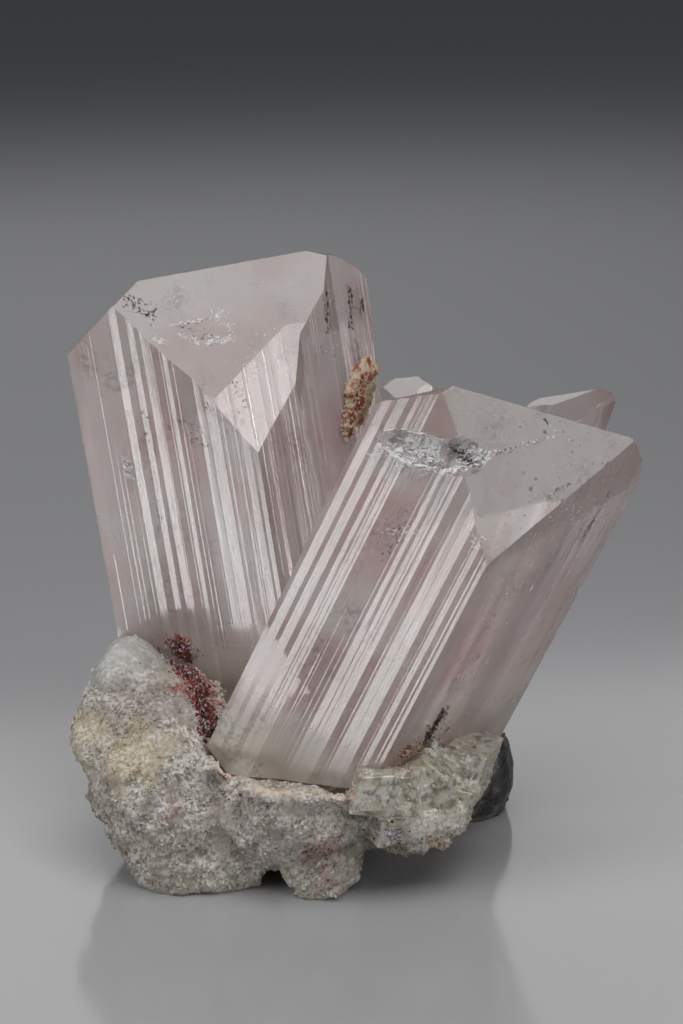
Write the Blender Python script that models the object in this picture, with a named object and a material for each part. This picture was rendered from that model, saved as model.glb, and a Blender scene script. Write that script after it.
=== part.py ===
"""Danburite specimen: chisel-shaped crystals standing on a loose piece of matrix.

Two large prisms lean apart in a V, two small ones stand behind them, and all of them grow
from a lumpy white matrix, which is also what the specimen rests on. Sizes are in
millimetres and are built in metres. +Z is up, and -Y is the side that is looked at. The
origin lies on the resting surface, at the middle of the specimen's box.
"""

import math
from dataclasses import dataclass

import bmesh
import bpy
from mathutils import Matrix, Vector, noise
from mathutils.geometry import convex_hull_2d

MM = 0.001

# Where the specimen's own box is centred, seen from the point that the pieces are placed from
BOX_CENTRE = (-1.1, -0.75)

# Clearance between a crystal and what it grows from or leans on
CONTACT_GAP = 0.3

# Danburite's unit cell, in angstroms, sets how steep its prism faces run: depth over width
CELL_A = 8.04
CELL_B = 8.75
FLAT_RUN = CELL_B / (2 * CELL_A)

# How far a crystal is drawn past its ridge before its wedge end is cut
RIDGE_SPARE = 2.0

# The matrix: size of its facets, its lumps of sugary grains, and its broader swellings
MATRIX_FACET = 1.75
GRAIN_SIZE = 4.4
GRAIN_SWELL = 1.3
GRAIN_RADIUS = 0.55
LUMP_SIZE = 9.0
LUMP_SWELL = 1.3
LUMP_OFFSET = (3.7, 1.1, 8.2)

# Its smooth places, the quartz shoulder and the dark knob, keep only a part of the grain:
# centre, and distance at which the grain is back in full
SMOOTH_PLACES = (
    ((-31.0, -3.0, 27.0), 16.0),
    ((17.0, 13.0, 6.0), 14.7),
)
SMOOTH_GRAIN = 0.25

# How far calcite's cleavage leans out of the square
CLEAVAGE_SHEAR = 0.22


@dataclass
class Crystal:
    """One chisel-shaped prism, in millimetres and degrees, along its own upright axis.

    Its outline is a rhomb: two corners at plus and minus half_width, a front and a back
    edge, and four flanks between them. A flank's bands are the widths of its growth steps,
    flat and steep in turn, as shares of the flank.
    """

    name: str
    half_width: float
    front_edge: tuple
    back_edge: tuple
    front_left: tuple
    front_right: tuple
    back_right: tuple
    back_left: tuple
    ridge: tuple
    front_slope: float
    back_slope: float
    end_cuts: tuple
    foot: float
    foot_cuts: tuple
    stands_at: tuple
    pitch: float
    lean: float
    spin: float


RIGHT = Crystal(
    name="right_crystal",
    half_width=19.3,
    front_edge=(-2.2, -12.3),
    back_edge=(1.5, 8.6),
    # Bright and pink bands in turn, counted from the left corner to the front edge
    front_left=(0.03, 0.05, 0.03, 0.05, 0.04, 0.10, 0.215, 0.13, 0.08, 0.10, 0.065,
                0.03, 0.035, 0.01, 0.015, 0.02),
    front_right=(0.90, 0.10),
    back_right=(0.42, 0.20, 0.38),
    back_left=(0.50, 0.18, 0.32),
    ridge=(-3.6, 60.0),
    front_slope=64.3,
    back_slope=61.0,
    # Each cut: rise to the right, rise to the back, and a point of the cut
    end_cuts=(
        (0.93, -0.08, (-19.3, 0.0, 53.5)),
        (-0.83, 0.0, (19.3, 0.0, 54.9)),
        (-2.6, 0.0, (18.7, 0.0, 54.4)),
    ),
    foot=-8.0,
    # The foot lies level on the matrix, with its left corner rounded off
    foot_cuts=(
        (0.383, -0.282, (-3.7, -11.2, 6.3)),
        (-0.81, -0.28, (-19.4, 0.0, 1.1)),
    ),
    stands_at=(-2.9, -7.0, 11.7),
    pitch=-8.4,
    lean=24.1,
    spin=16.5,
)

LEFT = Crystal(
    name="left_crystal",
    half_width=20.35,
    front_edge=(0.7, -14.0),
    back_edge=(-2.0, 10.0),
    front_left=(0.28, 0.045, 0.05, 0.035, 0.03, 0.05, 0.06, 0.025, 0.125, 0.26, 0.015,
                0.025),
    front_right=(0.34, 0.10, 0.22, 0.08, 0.26),
    back_right=(0.36, 0.16, 0.48),
    back_left=(0.30, 0.14, 0.34, 0.22),
    ridge=(-2.5, 60.0),
    front_slope=63.3,
    back_slope=60.5,
    end_cuts=(
        (0.745, -0.27, (-20.35, 0.0, 51.5)),
        (-0.40, 0.0, (12.5, -2.5, 60.0)),
        (-0.75, 0.0, (16.4, -2.5, 58.4)),
        (-1.60, 0.0, (19.0, -1.5, 56.4)),
    ),
    foot=-9.0,
    # The foot lies level, and the right edge draws in a little towards it
    foot_cuts=(
        (-0.143, 0.072, (0.0, 0.0, -3.2)),
        (14.0, 0.0, (19.3, 0.0, 38.0)),
    ),
    stands_at=(-10.3, 9.0, 17.6),
    pitch=2.6,
    lean=-8.7,
    spin=10.1,
)

REAR = Crystal(
    name="rear_crystal",
    half_width=5.9,
    front_edge=(-0.6, -3.7),
    back_edge=(0.5, 4.2),
    front_left=(0.45, 0.15, 0.40),
    front_right=(0.60, 0.40),
    back_right=(0.40, 0.20, 0.40),
    back_left=(0.55, 0.45),
    ridge=(-0.4, 50.0),
    front_slope=62.0,
    back_slope=60.5,
    end_cuts=(
        (0.58, 0.0, (3.0, -0.4, 50.0)),
        (1.40, 0.0, (-4.9, 0.0, 45.4)),
        (-0.95, 0.0, (4.5, -0.4, 50.0)),
    ),
    foot=-3.0,
    foot_cuts=(),
    stands_at=(13.3, 6.3, 14.8),
    pitch=0.0,
    lean=18.0,
    spin=10.0,
)

SMALL_REAR = Crystal(
    name="small_rear_crystal",
    half_width=4.3,
    front_edge=(0.3, -2.9),
    back_edge=(-0.3, 3.3),
    front_left=(0.55, 0.45),
    front_right=(0.50, 0.50),
    back_right=(0.60, 0.40),
    back_left=(0.45, 0.55),
    ridge=(0.0, 47.0),
    front_slope=60.5,
    back_slope=60.5,
    end_cuts=(
        (0.55, 0.0, (-4.3, 0.0, 45.6)),
        (-0.80, 0.0, (4.3, 0.0, 44.9)),
    ),
    foot=0.0,
    foot_cuts=(),
    stands_at=(7.6, 6.4, 16.0),
    pitch=0.0,
    lean=-1.5,
    spin=14.0,
)

# The chip under the right crystal's top edge is two shallow hollows that run together:
# centre, half sizes, turn about Z and about Y
CHIP_HOLLOWS = (
    ((7.7, -22.9, 61.2), (6.3, 1.6, 2.2), -17.6, 11.0),
    ((11.6, -24.0, 60.7), (4.9, 2.4, 2.5), 4.0, 4.0),
)

# Rounded masses of the matrix: centre and half sizes
MASSES = (
    # the grainy mass at the left and the smooth quartz shoulder on top of it
    ((-25.2, -4.0, 13.0), (10.4, 13.0, 12.5)),
    ((-30.0, 0.5, 20.5), (6.2, 8.5, 9.5)),
    ((-31.2, -4.0, 17.0), (6.6, 8.0, 5.2)),
    ((-24.8, -11.5, 10.5), (8.6, 8.0, 9.0)),
    ((-26.0, -11.8, 15.6), (7.6, 6.8, 6.6)),
    # its broad front foot
    ((-24.2, -11.5, 3.0), (6.2, 6.0, 5.5)),
    ((-17.8, -12.5, 3.5), (6.0, 6.0, 5.5)),
    # the floor under the right crystal and the lump that hangs in front of it
    ((-3.0, -4.0, 10.5), (18.0, 16.0, 6.0)),
    ((-8.0, -15.0, 10.5), (10.0, 7.0, 6.0)),
    ((-5.0, -15.0, 4.0), (5.0, 4.5, 6.0)),
    ((6.0, -13.0, 11.0), (9.0, 7.5, 5.5)),
    # crumbs that climb the right crystal's lower front
    ((7.8, -14.5, 19.0), (3.4, 2.6, 4.6)),
    # the body behind the crystals, its rear foot, and the dark knob at the rear right
    ((-12.0, 11.0, 12.0), (21.0, 12.0, 13.0)),
    ((7.0, 7.5, 11.0), (12.5, 9.0, 9.0)),
    ((-23.0, 9.0, 4.0), (9.0, 8.5, 7.0)),
    ((15.4, 12.6, 4.6), (7.2, 7.0, 8.2)),
)

# The thin rim that wraps up in front of the right crystal's foot: its line and its radius
RIM_LINE = (
    (-18.0, -16.5, 19.0),
    (-16.6, -19.6, 17.4),
    (-12.0, -21.4, 16.4),
    (-6.0, -22.2, 15.9),
    (-0.5, -22.4, 15.8),
)
RIM_RADIUS = 1.3

# Calcite blocks at the right, each with flat cleavage faces: centre, size, turn about Z and Y
CALCITE_BLOCKS = (
    ((1.9, -19.6, 16.0), (5.2, 5.6, 5.6), 10.0, 8.0),
    ((5.6, -18.4, 15.4), (5.0, 6.4, 5.4), -14.0, -9.0),
    ((8.6, -16.2, 16.8), (4.8, 5.5, 4.8), -14.0, 38.0),
    ((9.3, -16.2, 14.2), (5.0, 6.0, 5.0), 20.0, -14.0),
    ((12.0, -13.4, 12.4), (5.6, 6.4, 5.6), -8.0, 12.0),
    ((13.6, -10.5, 14.3), (6.0, 8.0, 9.0), -20.0, 6.0),
    ((9.6, -14.0, 9.6), (6.5, 7.0, 5.0), -6.0, 18.0),
    ((4.2, -18.8, 10.6), (4.6, 4.5, 3.6), 20.0, -8.0),
)

# The iron-stained crust beside the left crystal's right edge: centre, half sizes, turns, and
# how much narrower it is at its lower end
CRUST_CENTRE = (-0.9, 9.6, 57.6)
CRUST_RADII = (3.8, 1.5, 7.4)
CRUST_TURNS = (45.6, 31.0)
CRUST_TAPER = 0.45
CRUST_LUMP_SIZE = 1.6
CRUST_LUMP_SWELL = 0.7


def clear_scene():
    """Remove every object of the opened scene."""
    for thing in list(bpy.data.objects):
        bpy.data.objects.remove(thing, do_unlink=True)


def principled(name, colour, roughness, transmission=0.0, ior=1.5):
    """Make a plain Principled material from a linear colour."""
    material = bpy.data.materials.new(name)
    material.use_nodes = True
    shader = material.node_tree.nodes["Principled BSDF"]
    shader.inputs["Base Color"].default_value = (*colour, 1.0)
    shader.inputs["Roughness"].default_value = roughness
    shader.inputs["Metallic"].default_value = 0.0
    shader.inputs["Transmission Weight"].default_value = transmission
    shader.inputs["IOR"].default_value = ior
    return material


def new_object(name, mesh, parent, material=None):
    """Put a mesh into the scene as a named object under its parent."""
    thing = bpy.data.objects.new(name, mesh)
    bpy.context.collection.objects.link(thing)
    thing.parent = parent
    if material is not None:
        mesh.materials.append(material)
    return thing


def mesh_from(bm, name):
    """Turn a bmesh, built in millimetres, into a mesh in metres."""
    bmesh.ops.recalc_face_normals(bm, faces=bm.faces[:])
    bmesh.ops.scale(bm, vec=(MM, MM, MM), verts=bm.verts[:])
    mesh = bpy.data.meshes.new(name)
    bm.to_mesh(mesh)
    bm.free()
    return mesh


def evaluated_mesh(thing):
    """Read an object's mesh with its modifiers applied."""
    graph = bpy.context.evaluated_depsgraph_get()
    graph.update()
    return bpy.data.meshes.new_from_object(thing.evaluated_get(graph))


def band_points(start, end, bands):
    """Points along one flank, from start up to but without end.

    Flat bands run at the angle of the flatter prism face. The steep bands share what is
    left of the flank's depth, so that the steps close on the flank's end.
    """
    width = end[0] - start[0]
    depth = end[1] - start[1]
    flat_run = math.copysign(FLAT_RUN, depth * width)
    steep_run = (depth / width - flat_run * sum(bands[0::2])) / sum(bands[1::2])
    points = []
    x, y = start
    for number, share in enumerate(bands):
        points.append((x, y))
        run = steep_run if number % 2 else flat_run
        x += share * width
        y += share * width * run
    return points


def outline(crystal):
    """The stepped rhomb that the crystal has across its axis, anticlockwise."""
    left = (-crystal.half_width, 0.0)
    right = (crystal.half_width, 0.0)
    points = band_points(left, crystal.front_edge, crystal.front_left)
    points += band_points(crystal.front_edge, right, crystal.front_right)
    points += band_points(right, crystal.back_edge, crystal.back_right)
    points += band_points(crystal.back_edge, left, crystal.back_left)
    return [Vector(point) for point in points]


def grown(points, gap):
    """The outline without its inward steps, with its sides moved outwards by a gap."""
    points = [points[number] for number in convex_hull_2d(points)]
    turn = sum(a.cross(b) for a, b in zip(points, points[1:] + points[:1]))
    if turn < 0.0:
        points.reverse()
    moved = []
    for number, point in enumerate(points):
        before = point - points[number - 1]
        after = points[(number + 1) % len(points)] - point
        out_before = Vector((before.y, -before.x)).normalized()
        out_after = Vector((after.y, -after.x)).normalized()
        share = max(1.0 + out_before.dot(out_after), 0.5)
        moved.append(point + (out_before + out_after) * (gap / share))
    return moved


def cut_away(bm, normal, point):
    """Cut off what lies beyond a plane, and close the cut with one flat face."""
    geometry = bm.verts[:] + bm.edges[:] + bm.faces[:]
    bmesh.ops.bisect_plane(
        bm, geom=geometry, dist=1e-6, plane_co=point, plane_no=normal, clear_outer=True)
    rim = [edge for edge in bm.edges if edge.is_boundary]
    if rim:
        bmesh.ops.holes_fill(bm, edges=rim, sides=0)


def crystal_mesh(crystal, gap=0.0):
    """Extrude the outline along the axis, then cut the wedge end and the foot.

    With a gap, it is the plain shape that clears the crystal by that gap all round.
    """
    bm = bmesh.new()
    bottom = crystal.foot - gap
    ridge_y, ridge_z = crystal.ridge
    points = outline(crystal)
    if gap > 0.0:
        points = grown(points, gap)
    ring = [bm.verts.new((*point, bottom)) for point in points]
    base = bm.faces.new(ring)
    raised = bmesh.ops.extrude_face_region(bm, geom=[base])
    tops = [part for part in raised["geom"] if isinstance(part, bmesh.types.BMVert)]
    bmesh.ops.translate(bm, verts=tops, vec=(0.0, 0.0, ridge_z + RIDGE_SPARE - bottom))
    front_rise = math.tan(math.radians(crystal.front_slope))
    back_rise = -math.tan(math.radians(crystal.back_slope))
    ridge_point = (0.0, ridge_y, ridge_z)
    cuts = [(0.0, front_rise, ridge_point), (0.0, back_rise, ridge_point)]
    cuts += crystal.end_cuts
    for rise_x, rise_y, point in cuts:
        normal = Vector((-rise_x, -rise_y, 1.0)).normalized()
        cut_away(bm, normal, Vector(point) + normal * gap)
    for rise_x, rise_y, point in crystal.foot_cuts:
        normal = Vector((rise_x, rise_y, -1.0)).normalized()
        cut_away(bm, normal, Vector(point) + normal * gap)
    return mesh_from(bm, crystal.name)


def stand(thing, crystal):
    """Place a crystal: turned about its own axis, leaned to the side, then tipped."""
    thing.location = Vector(crystal.stands_at) * MM
    thing.rotation_mode = "ZYX"
    thing.rotation_euler = (
        math.radians(-crystal.pitch), math.radians(crystal.lean), math.radians(crystal.spin))


def as_cutter(thing):
    """Hide an object that only cuts others."""
    thing.hide_render = True
    thing.display_type = "WIRE"
    return thing


def boolean(thing, other, operation):
    """Join another object to this one, or cut it out of this one."""
    modifier = thing.modifiers.new(other.name, "BOOLEAN")
    modifier.operation = operation
    modifier.solver = "EXACT"
    modifier.object = other


def build_crystal(crystal, parent, material):
    """Make a crystal, and the slightly larger cutter that gives its neighbours their gap."""
    thing = new_object(crystal.name, crystal_mesh(crystal), parent, material)
    stand(thing, crystal)
    socket_mesh = crystal_mesh(crystal, CONTACT_GAP)
    socket = as_cutter(new_object(crystal.name + "_socket", socket_mesh, parent))
    stand(socket, crystal)
    return thing, socket


def turned(turn_z, turn_y):
    """A turn about Y, then about Z, in degrees."""
    about_z = Matrix.Rotation(math.radians(turn_z), 4, "Z")
    return about_z @ Matrix.Rotation(math.radians(turn_y), 4, "Y")


def chip_cutter(number, parent):
    """One faceted, lens-like hollow of the chip."""
    centre, radii, turn_z, turn_y = CHIP_HOLLOWS[number]
    size = Matrix.Diagonal((*radii, 1.0))
    place = Matrix.Translation(centre) @ turned(turn_z, turn_y) @ size
    bm = bmesh.new()
    bmesh.ops.create_icosphere(bm, subdivisions=2, radius=1.0, matrix=place)
    name = f"chip_cutter_{number + 1}"
    return as_cutter(new_object(name, mesh_from(bm, name), parent))


def add_mass(bm, centre, radii):
    """Add one rounded mass to the matrix."""
    place = Matrix.Translation(centre) @ Matrix.Diagonal((*radii, 1.0))
    bmesh.ops.create_icosphere(bm, subdivisions=4, radius=1.0, matrix=place)


def rim_points(spacing):
    """Points along the rim's line, one every spacing or so."""
    points = []
    for start, end in zip(RIM_LINE, RIM_LINE[1:]):
        start = Vector(start)
        run = Vector(end) - start
        count = max(int(run.length / spacing), 1)
        points += [start + run * (step / count) for step in range(count)]
    points.append(Vector(RIM_LINE[-1]))
    return points


def grain_share(point):
    """How much of the grain shows at a point: least in the middle of a smooth place."""
    nearest = min((point - Vector(centre)).length / reach for centre, reach in SMOOTH_PLACES)
    return min(max(2.0 * nearest - 1.0, SMOOTH_GRAIN), 1.0)


def swell(point):
    """How far the matrix swells out of its plain masses at a point, in millimetres."""
    lump = noise.noise(point / LUMP_SIZE + Vector(LUMP_OFFSET))
    distances, _ = noise.voronoi(point / GRAIN_SIZE)
    grain = GRAIN_RADIUS - distances[0]
    return LUMP_SWELL * lump + GRAIN_SWELL * grain * grain_share(point)


def matrix_mesh(parent):
    """Fuse the masses and the rim into one skin, and give it its lumps."""
    bm = bmesh.new()
    for centre, radii in MASSES:
        add_mass(bm, centre, radii)
    for point in rim_points(RIM_RADIUS):
        add_mass(bm, point, (RIM_RADIUS,) * 3)
    masses = as_cutter(new_object("masses", mesh_from(bm, "masses"), parent))
    fuse = masses.modifiers.new("fuse", "REMESH")
    fuse.mode = "VOXEL"
    fuse.voxel_size = MATRIX_FACET * MM
    skin = evaluated_mesh(masses)
    bpy.data.objects.remove(masses, do_unlink=True)
    bm = bmesh.new()
    bm.from_mesh(skin)
    bmesh.ops.scale(bm, vec=(1.0 / MM,) * 3, verts=bm.verts[:])
    bm.normal_update()
    swells = [swell(vert.co) for vert in bm.verts]
    for vert, height in zip(bm.verts, swells):
        vert.co += vert.normal * height
    cut_away(bm, Vector((0.0, 0.0, -1.0)), Vector((0.0, 0.0, 0.0)))
    return mesh_from(bm, "matrix")


def calcite_block(number, parent):
    """One cleaved calcite block, leaning a little as a rhomb does."""
    centre, size, turn_z, turn_y = CALCITE_BLOCKS[number]
    shear = Matrix.Identity(4)
    shear[0][2] = CLEAVAGE_SHEAR
    sized = shear @ Matrix.Diagonal((*size, 1.0))
    place = Matrix.Translation(centre) @ turned(turn_z, turn_y) @ sized
    bm = bmesh.new()
    bmesh.ops.create_cube(bm, size=1.0, matrix=place)
    name = f"calcite_block_{number + 1}"
    return as_cutter(new_object(name, mesh_from(bm, name), parent))


def build_matrix(parent, material, sockets):
    """The matrix: grainy skin, calcite blocks joined to it, and a socket per crystal."""
    matrix = new_object("matrix", matrix_mesh(parent), parent, material)
    for number in range(len(CALCITE_BLOCKS)):
        boolean(matrix, calcite_block(number, parent), "UNION")
    for socket in sockets:
        boolean(matrix, socket, "DIFFERENCE")
    return matrix


def build_crust(parent, material, sockets):
    """The iron-stained crust: a lumpy scab against the left crystal's right edge."""
    bm = bmesh.new()
    bmesh.ops.create_icosphere(bm, subdivisions=3, radius=1.0)
    for vert in bm.verts:
        vert.co.x *= 1.0 - CRUST_TAPER * (1.0 - vert.co.z) / 2.0
    size = Matrix.Diagonal((*CRUST_RADII, 1.0))
    place = Matrix.Translation(CRUST_CENTRE) @ turned(*CRUST_TURNS) @ size
    bmesh.ops.transform(bm, matrix=place, verts=bm.verts[:])
    bm.normal_update()
    lumps = [noise.noise(vert.co / CRUST_LUMP_SIZE) for vert in bm.verts]
    for vert, lump in zip(bm.verts, lumps):
        vert.co += vert.normal * CRUST_LUMP_SWELL * lump
    crust = new_object("iron_crust", mesh_from(bm, "iron_crust"), parent, material)
    for socket in sockets:
        boolean(crust, socket, "DIFFERENCE")
    return crust


def main():
    """Build the specimen."""
    clear_scene()
    root = bpy.data.objects.new("danburite", None)
    bpy.context.collection.objects.link(root)
    root.location = (-BOX_CENTRE[0] * MM, -BOX_CENTRE[1] * MM, 0.0)

    clear_pink = principled("pale_pink_danburite", (0.72, 0.58, 0.57), 0.05, 1.0, 1.63)
    rock = principled("white_matrix", (0.60, 0.56, 0.50), 0.75)
    iron = principled("iron_crust", (0.40, 0.20, 0.12), 0.8)

    right, right_socket = build_crystal(RIGHT, root, clear_pink)
    left, left_socket = build_crystal(LEFT, root, clear_pink)
    rear, rear_socket = build_crystal(REAR, root, clear_pink)
    small, small_socket = build_crystal(SMALL_REAR, root, clear_pink)
    for number in range(len(CHIP_HOLLOWS)):
        boolean(right, chip_cutter(number, root), "DIFFERENCE")
    boolean(left, right_socket, "DIFFERENCE")
    for behind in (rear, small):
        boolean(behind, right_socket, "DIFFERENCE")
        boolean(behind, left_socket, "DIFFERENCE")
    boolean(small, rear_socket, "DIFFERENCE")

    sockets = (right_socket, left_socket, rear_socket, small_socket)
    build_matrix(root, rock, sockets)
    build_crust(root, iron, sockets)


if __name__ == "__main__":
    main()
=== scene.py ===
import logging
import math
import random
from dataclasses import dataclass
from enum import Enum
from typing import Any, Iterable, Sequence

import bmesh
import bpy
import numpy as np
from mathutils import Matrix, Vector, noise
from mathutils.bvhtree import BVHTree
from mathutils.geometry import convex_hull_2d


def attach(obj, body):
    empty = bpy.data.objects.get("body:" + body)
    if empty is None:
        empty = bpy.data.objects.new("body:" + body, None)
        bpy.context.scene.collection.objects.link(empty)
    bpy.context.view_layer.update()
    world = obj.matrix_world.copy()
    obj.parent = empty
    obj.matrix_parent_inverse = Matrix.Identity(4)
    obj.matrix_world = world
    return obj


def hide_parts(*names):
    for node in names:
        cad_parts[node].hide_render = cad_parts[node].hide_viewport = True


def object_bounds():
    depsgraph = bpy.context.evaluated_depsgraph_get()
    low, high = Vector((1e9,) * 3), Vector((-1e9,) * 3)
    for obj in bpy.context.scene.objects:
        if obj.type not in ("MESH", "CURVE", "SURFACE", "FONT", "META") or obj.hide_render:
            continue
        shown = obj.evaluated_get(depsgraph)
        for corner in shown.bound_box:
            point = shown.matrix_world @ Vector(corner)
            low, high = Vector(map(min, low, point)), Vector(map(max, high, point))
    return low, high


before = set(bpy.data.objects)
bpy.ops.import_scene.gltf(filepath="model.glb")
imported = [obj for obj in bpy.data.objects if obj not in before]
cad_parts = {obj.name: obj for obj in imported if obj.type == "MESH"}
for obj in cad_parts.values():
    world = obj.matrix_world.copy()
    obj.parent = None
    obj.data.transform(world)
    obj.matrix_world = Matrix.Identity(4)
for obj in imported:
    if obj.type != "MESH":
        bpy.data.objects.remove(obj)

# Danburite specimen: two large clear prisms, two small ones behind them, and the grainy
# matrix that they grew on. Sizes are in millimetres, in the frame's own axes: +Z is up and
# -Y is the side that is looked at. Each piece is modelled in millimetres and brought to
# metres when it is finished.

CAD_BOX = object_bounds()

log = logging.getLogger("danburite")

MM = 0.001

# From the point that the CAD places its pieces from to the middle of the specimen's box
SHIFT = Vector((1.1, 0.75, 0.0))

# Crystals and matrix are grown together: only a hair's breadth is left between the pieces
SEAM = 0.06

# Danburite's unit cell, b over 2 a in angstroms, sets the run of its flat prism faces. A
# face that turns further than STEEP_TURN degrees is a steep one, and mirrors as a band,
# whose sheen the crystal's colour also paints white
FLAT_RUN = 8.75 / (2 * 8.04)
STEEP_TURN = 34.0

# A face whose normal rises no more than this, along the crystal's axis, is a prism face
UPRIGHT = 0.05

Triple = tuple[float, float, float]
Pair = tuple[float, float]


class Tone(Enum):
    """What a bit in a crystal's skin, or a crumb on it, is made of."""

    SPARKLE = "sparkle"
    FLECK = "fleck"
    RUST = "rust"
    BROWN = "brown"
    LILAC = "lilac"
    TAN = "tan"


class Zone(Enum):
    """The kinds of ground that the matrix shows, and its painted shade."""

    QUARTZ = "quartz"
    MOTTLED = "mottled"
    YELLOW = "yellow"
    CALCITE = "calcite"
    RIM = "rim"
    SOCKET = "socket"
    STAIN = "stain"
    KNOB = "knob"
    SHADE = "shade"


# Colours and nodes

# A Map Range node takes its value, the range that it comes from and the range that it goes
# to as inputs 0 to 4. A Mix node for colours takes its share and two colours as 0, 6 and 7.
SMOOTH: dict[str, Any] = {"interpolation_type": "SMOOTHSTEP"}
COLOURS: dict[str, Any] = {"output": 2, "data_type": "RGBA"}
TIMES: dict[str, Any] = {"operation": "MULTIPLY", "use_clamp": True}
LARGER: dict[str, Any] = {"operation": "MAXIMUM", "use_clamp": True}
SUM: dict[str, Any] = {"operation": "ADD", "use_clamp": True}


def linear(code: str) -> tuple[float, float, float, float]:
    """Turn an sRGB hex colour to linear light.

    Args:
        code: The colour, such as "#E8DCDC".

    Returns:
        Red, green, blue and full alpha.
    """
    parts = [int(code[i:i + 2], 16) / 255.0 for i in (1, 3, 5)]
    curve = [p / 12.92 if p <= 0.04045 else ((p + 0.055) / 1.055) ** 2.4 for p in parts]
    return (*curve, 1.0)


def add_node(tree: Any, kind: str, inputs: dict[Any, Any] | None = None, output: Any = 0,
             **settings: Any) -> Any:
    """Add a node with its settings, its values and its links.

    Args:
        tree: The node tree.
        kind: The node's type, without the words ShaderNode in front.
        inputs: A value, or another node's output, for each input by name or number.
        output: The name or the number of the output that is wanted.
        settings: The node's own properties.

    Returns:
        The wanted output.
    """
    node = tree.nodes.new("ShaderNode" + kind)
    for name, value in settings.items():
        setattr(node, name, value)
    for name, value in (inputs or {}).items():
        if isinstance(value, bpy.types.NodeSocket):
            tree.links.new(value, node.inputs[name])
        else:
            node.inputs[name].default_value = value
    return node.outputs[output]


def patches(where: Any, across: float, detail: float = 2.0) -> dict[str, Any]:
    """The inputs of soft noise whose patches are so many millimetres across."""
    return {"Vector": where, "Scale": 1.0 / (across * MM), "Detail": detail, "Roughness": 0.6}


def packing(where: Any, across: float) -> dict[str, Any]:
    """The inputs of a cell pattern whose grains are so many millimetres across."""
    return {"Vector": where, "Scale": 1.0 / (across * MM)}


def new_material(name: str) -> tuple[Any, Any, Any]:
    """Start a material.

    Args:
        name: What the real stuff is.

    Returns:
        The material, its node tree and its Principled shader.
    """
    material = bpy.data.materials.new(name)
    material.use_nodes = True
    tree = material.node_tree
    return material, tree, tree.nodes["Principled BSDF"]


# Finishes


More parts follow.
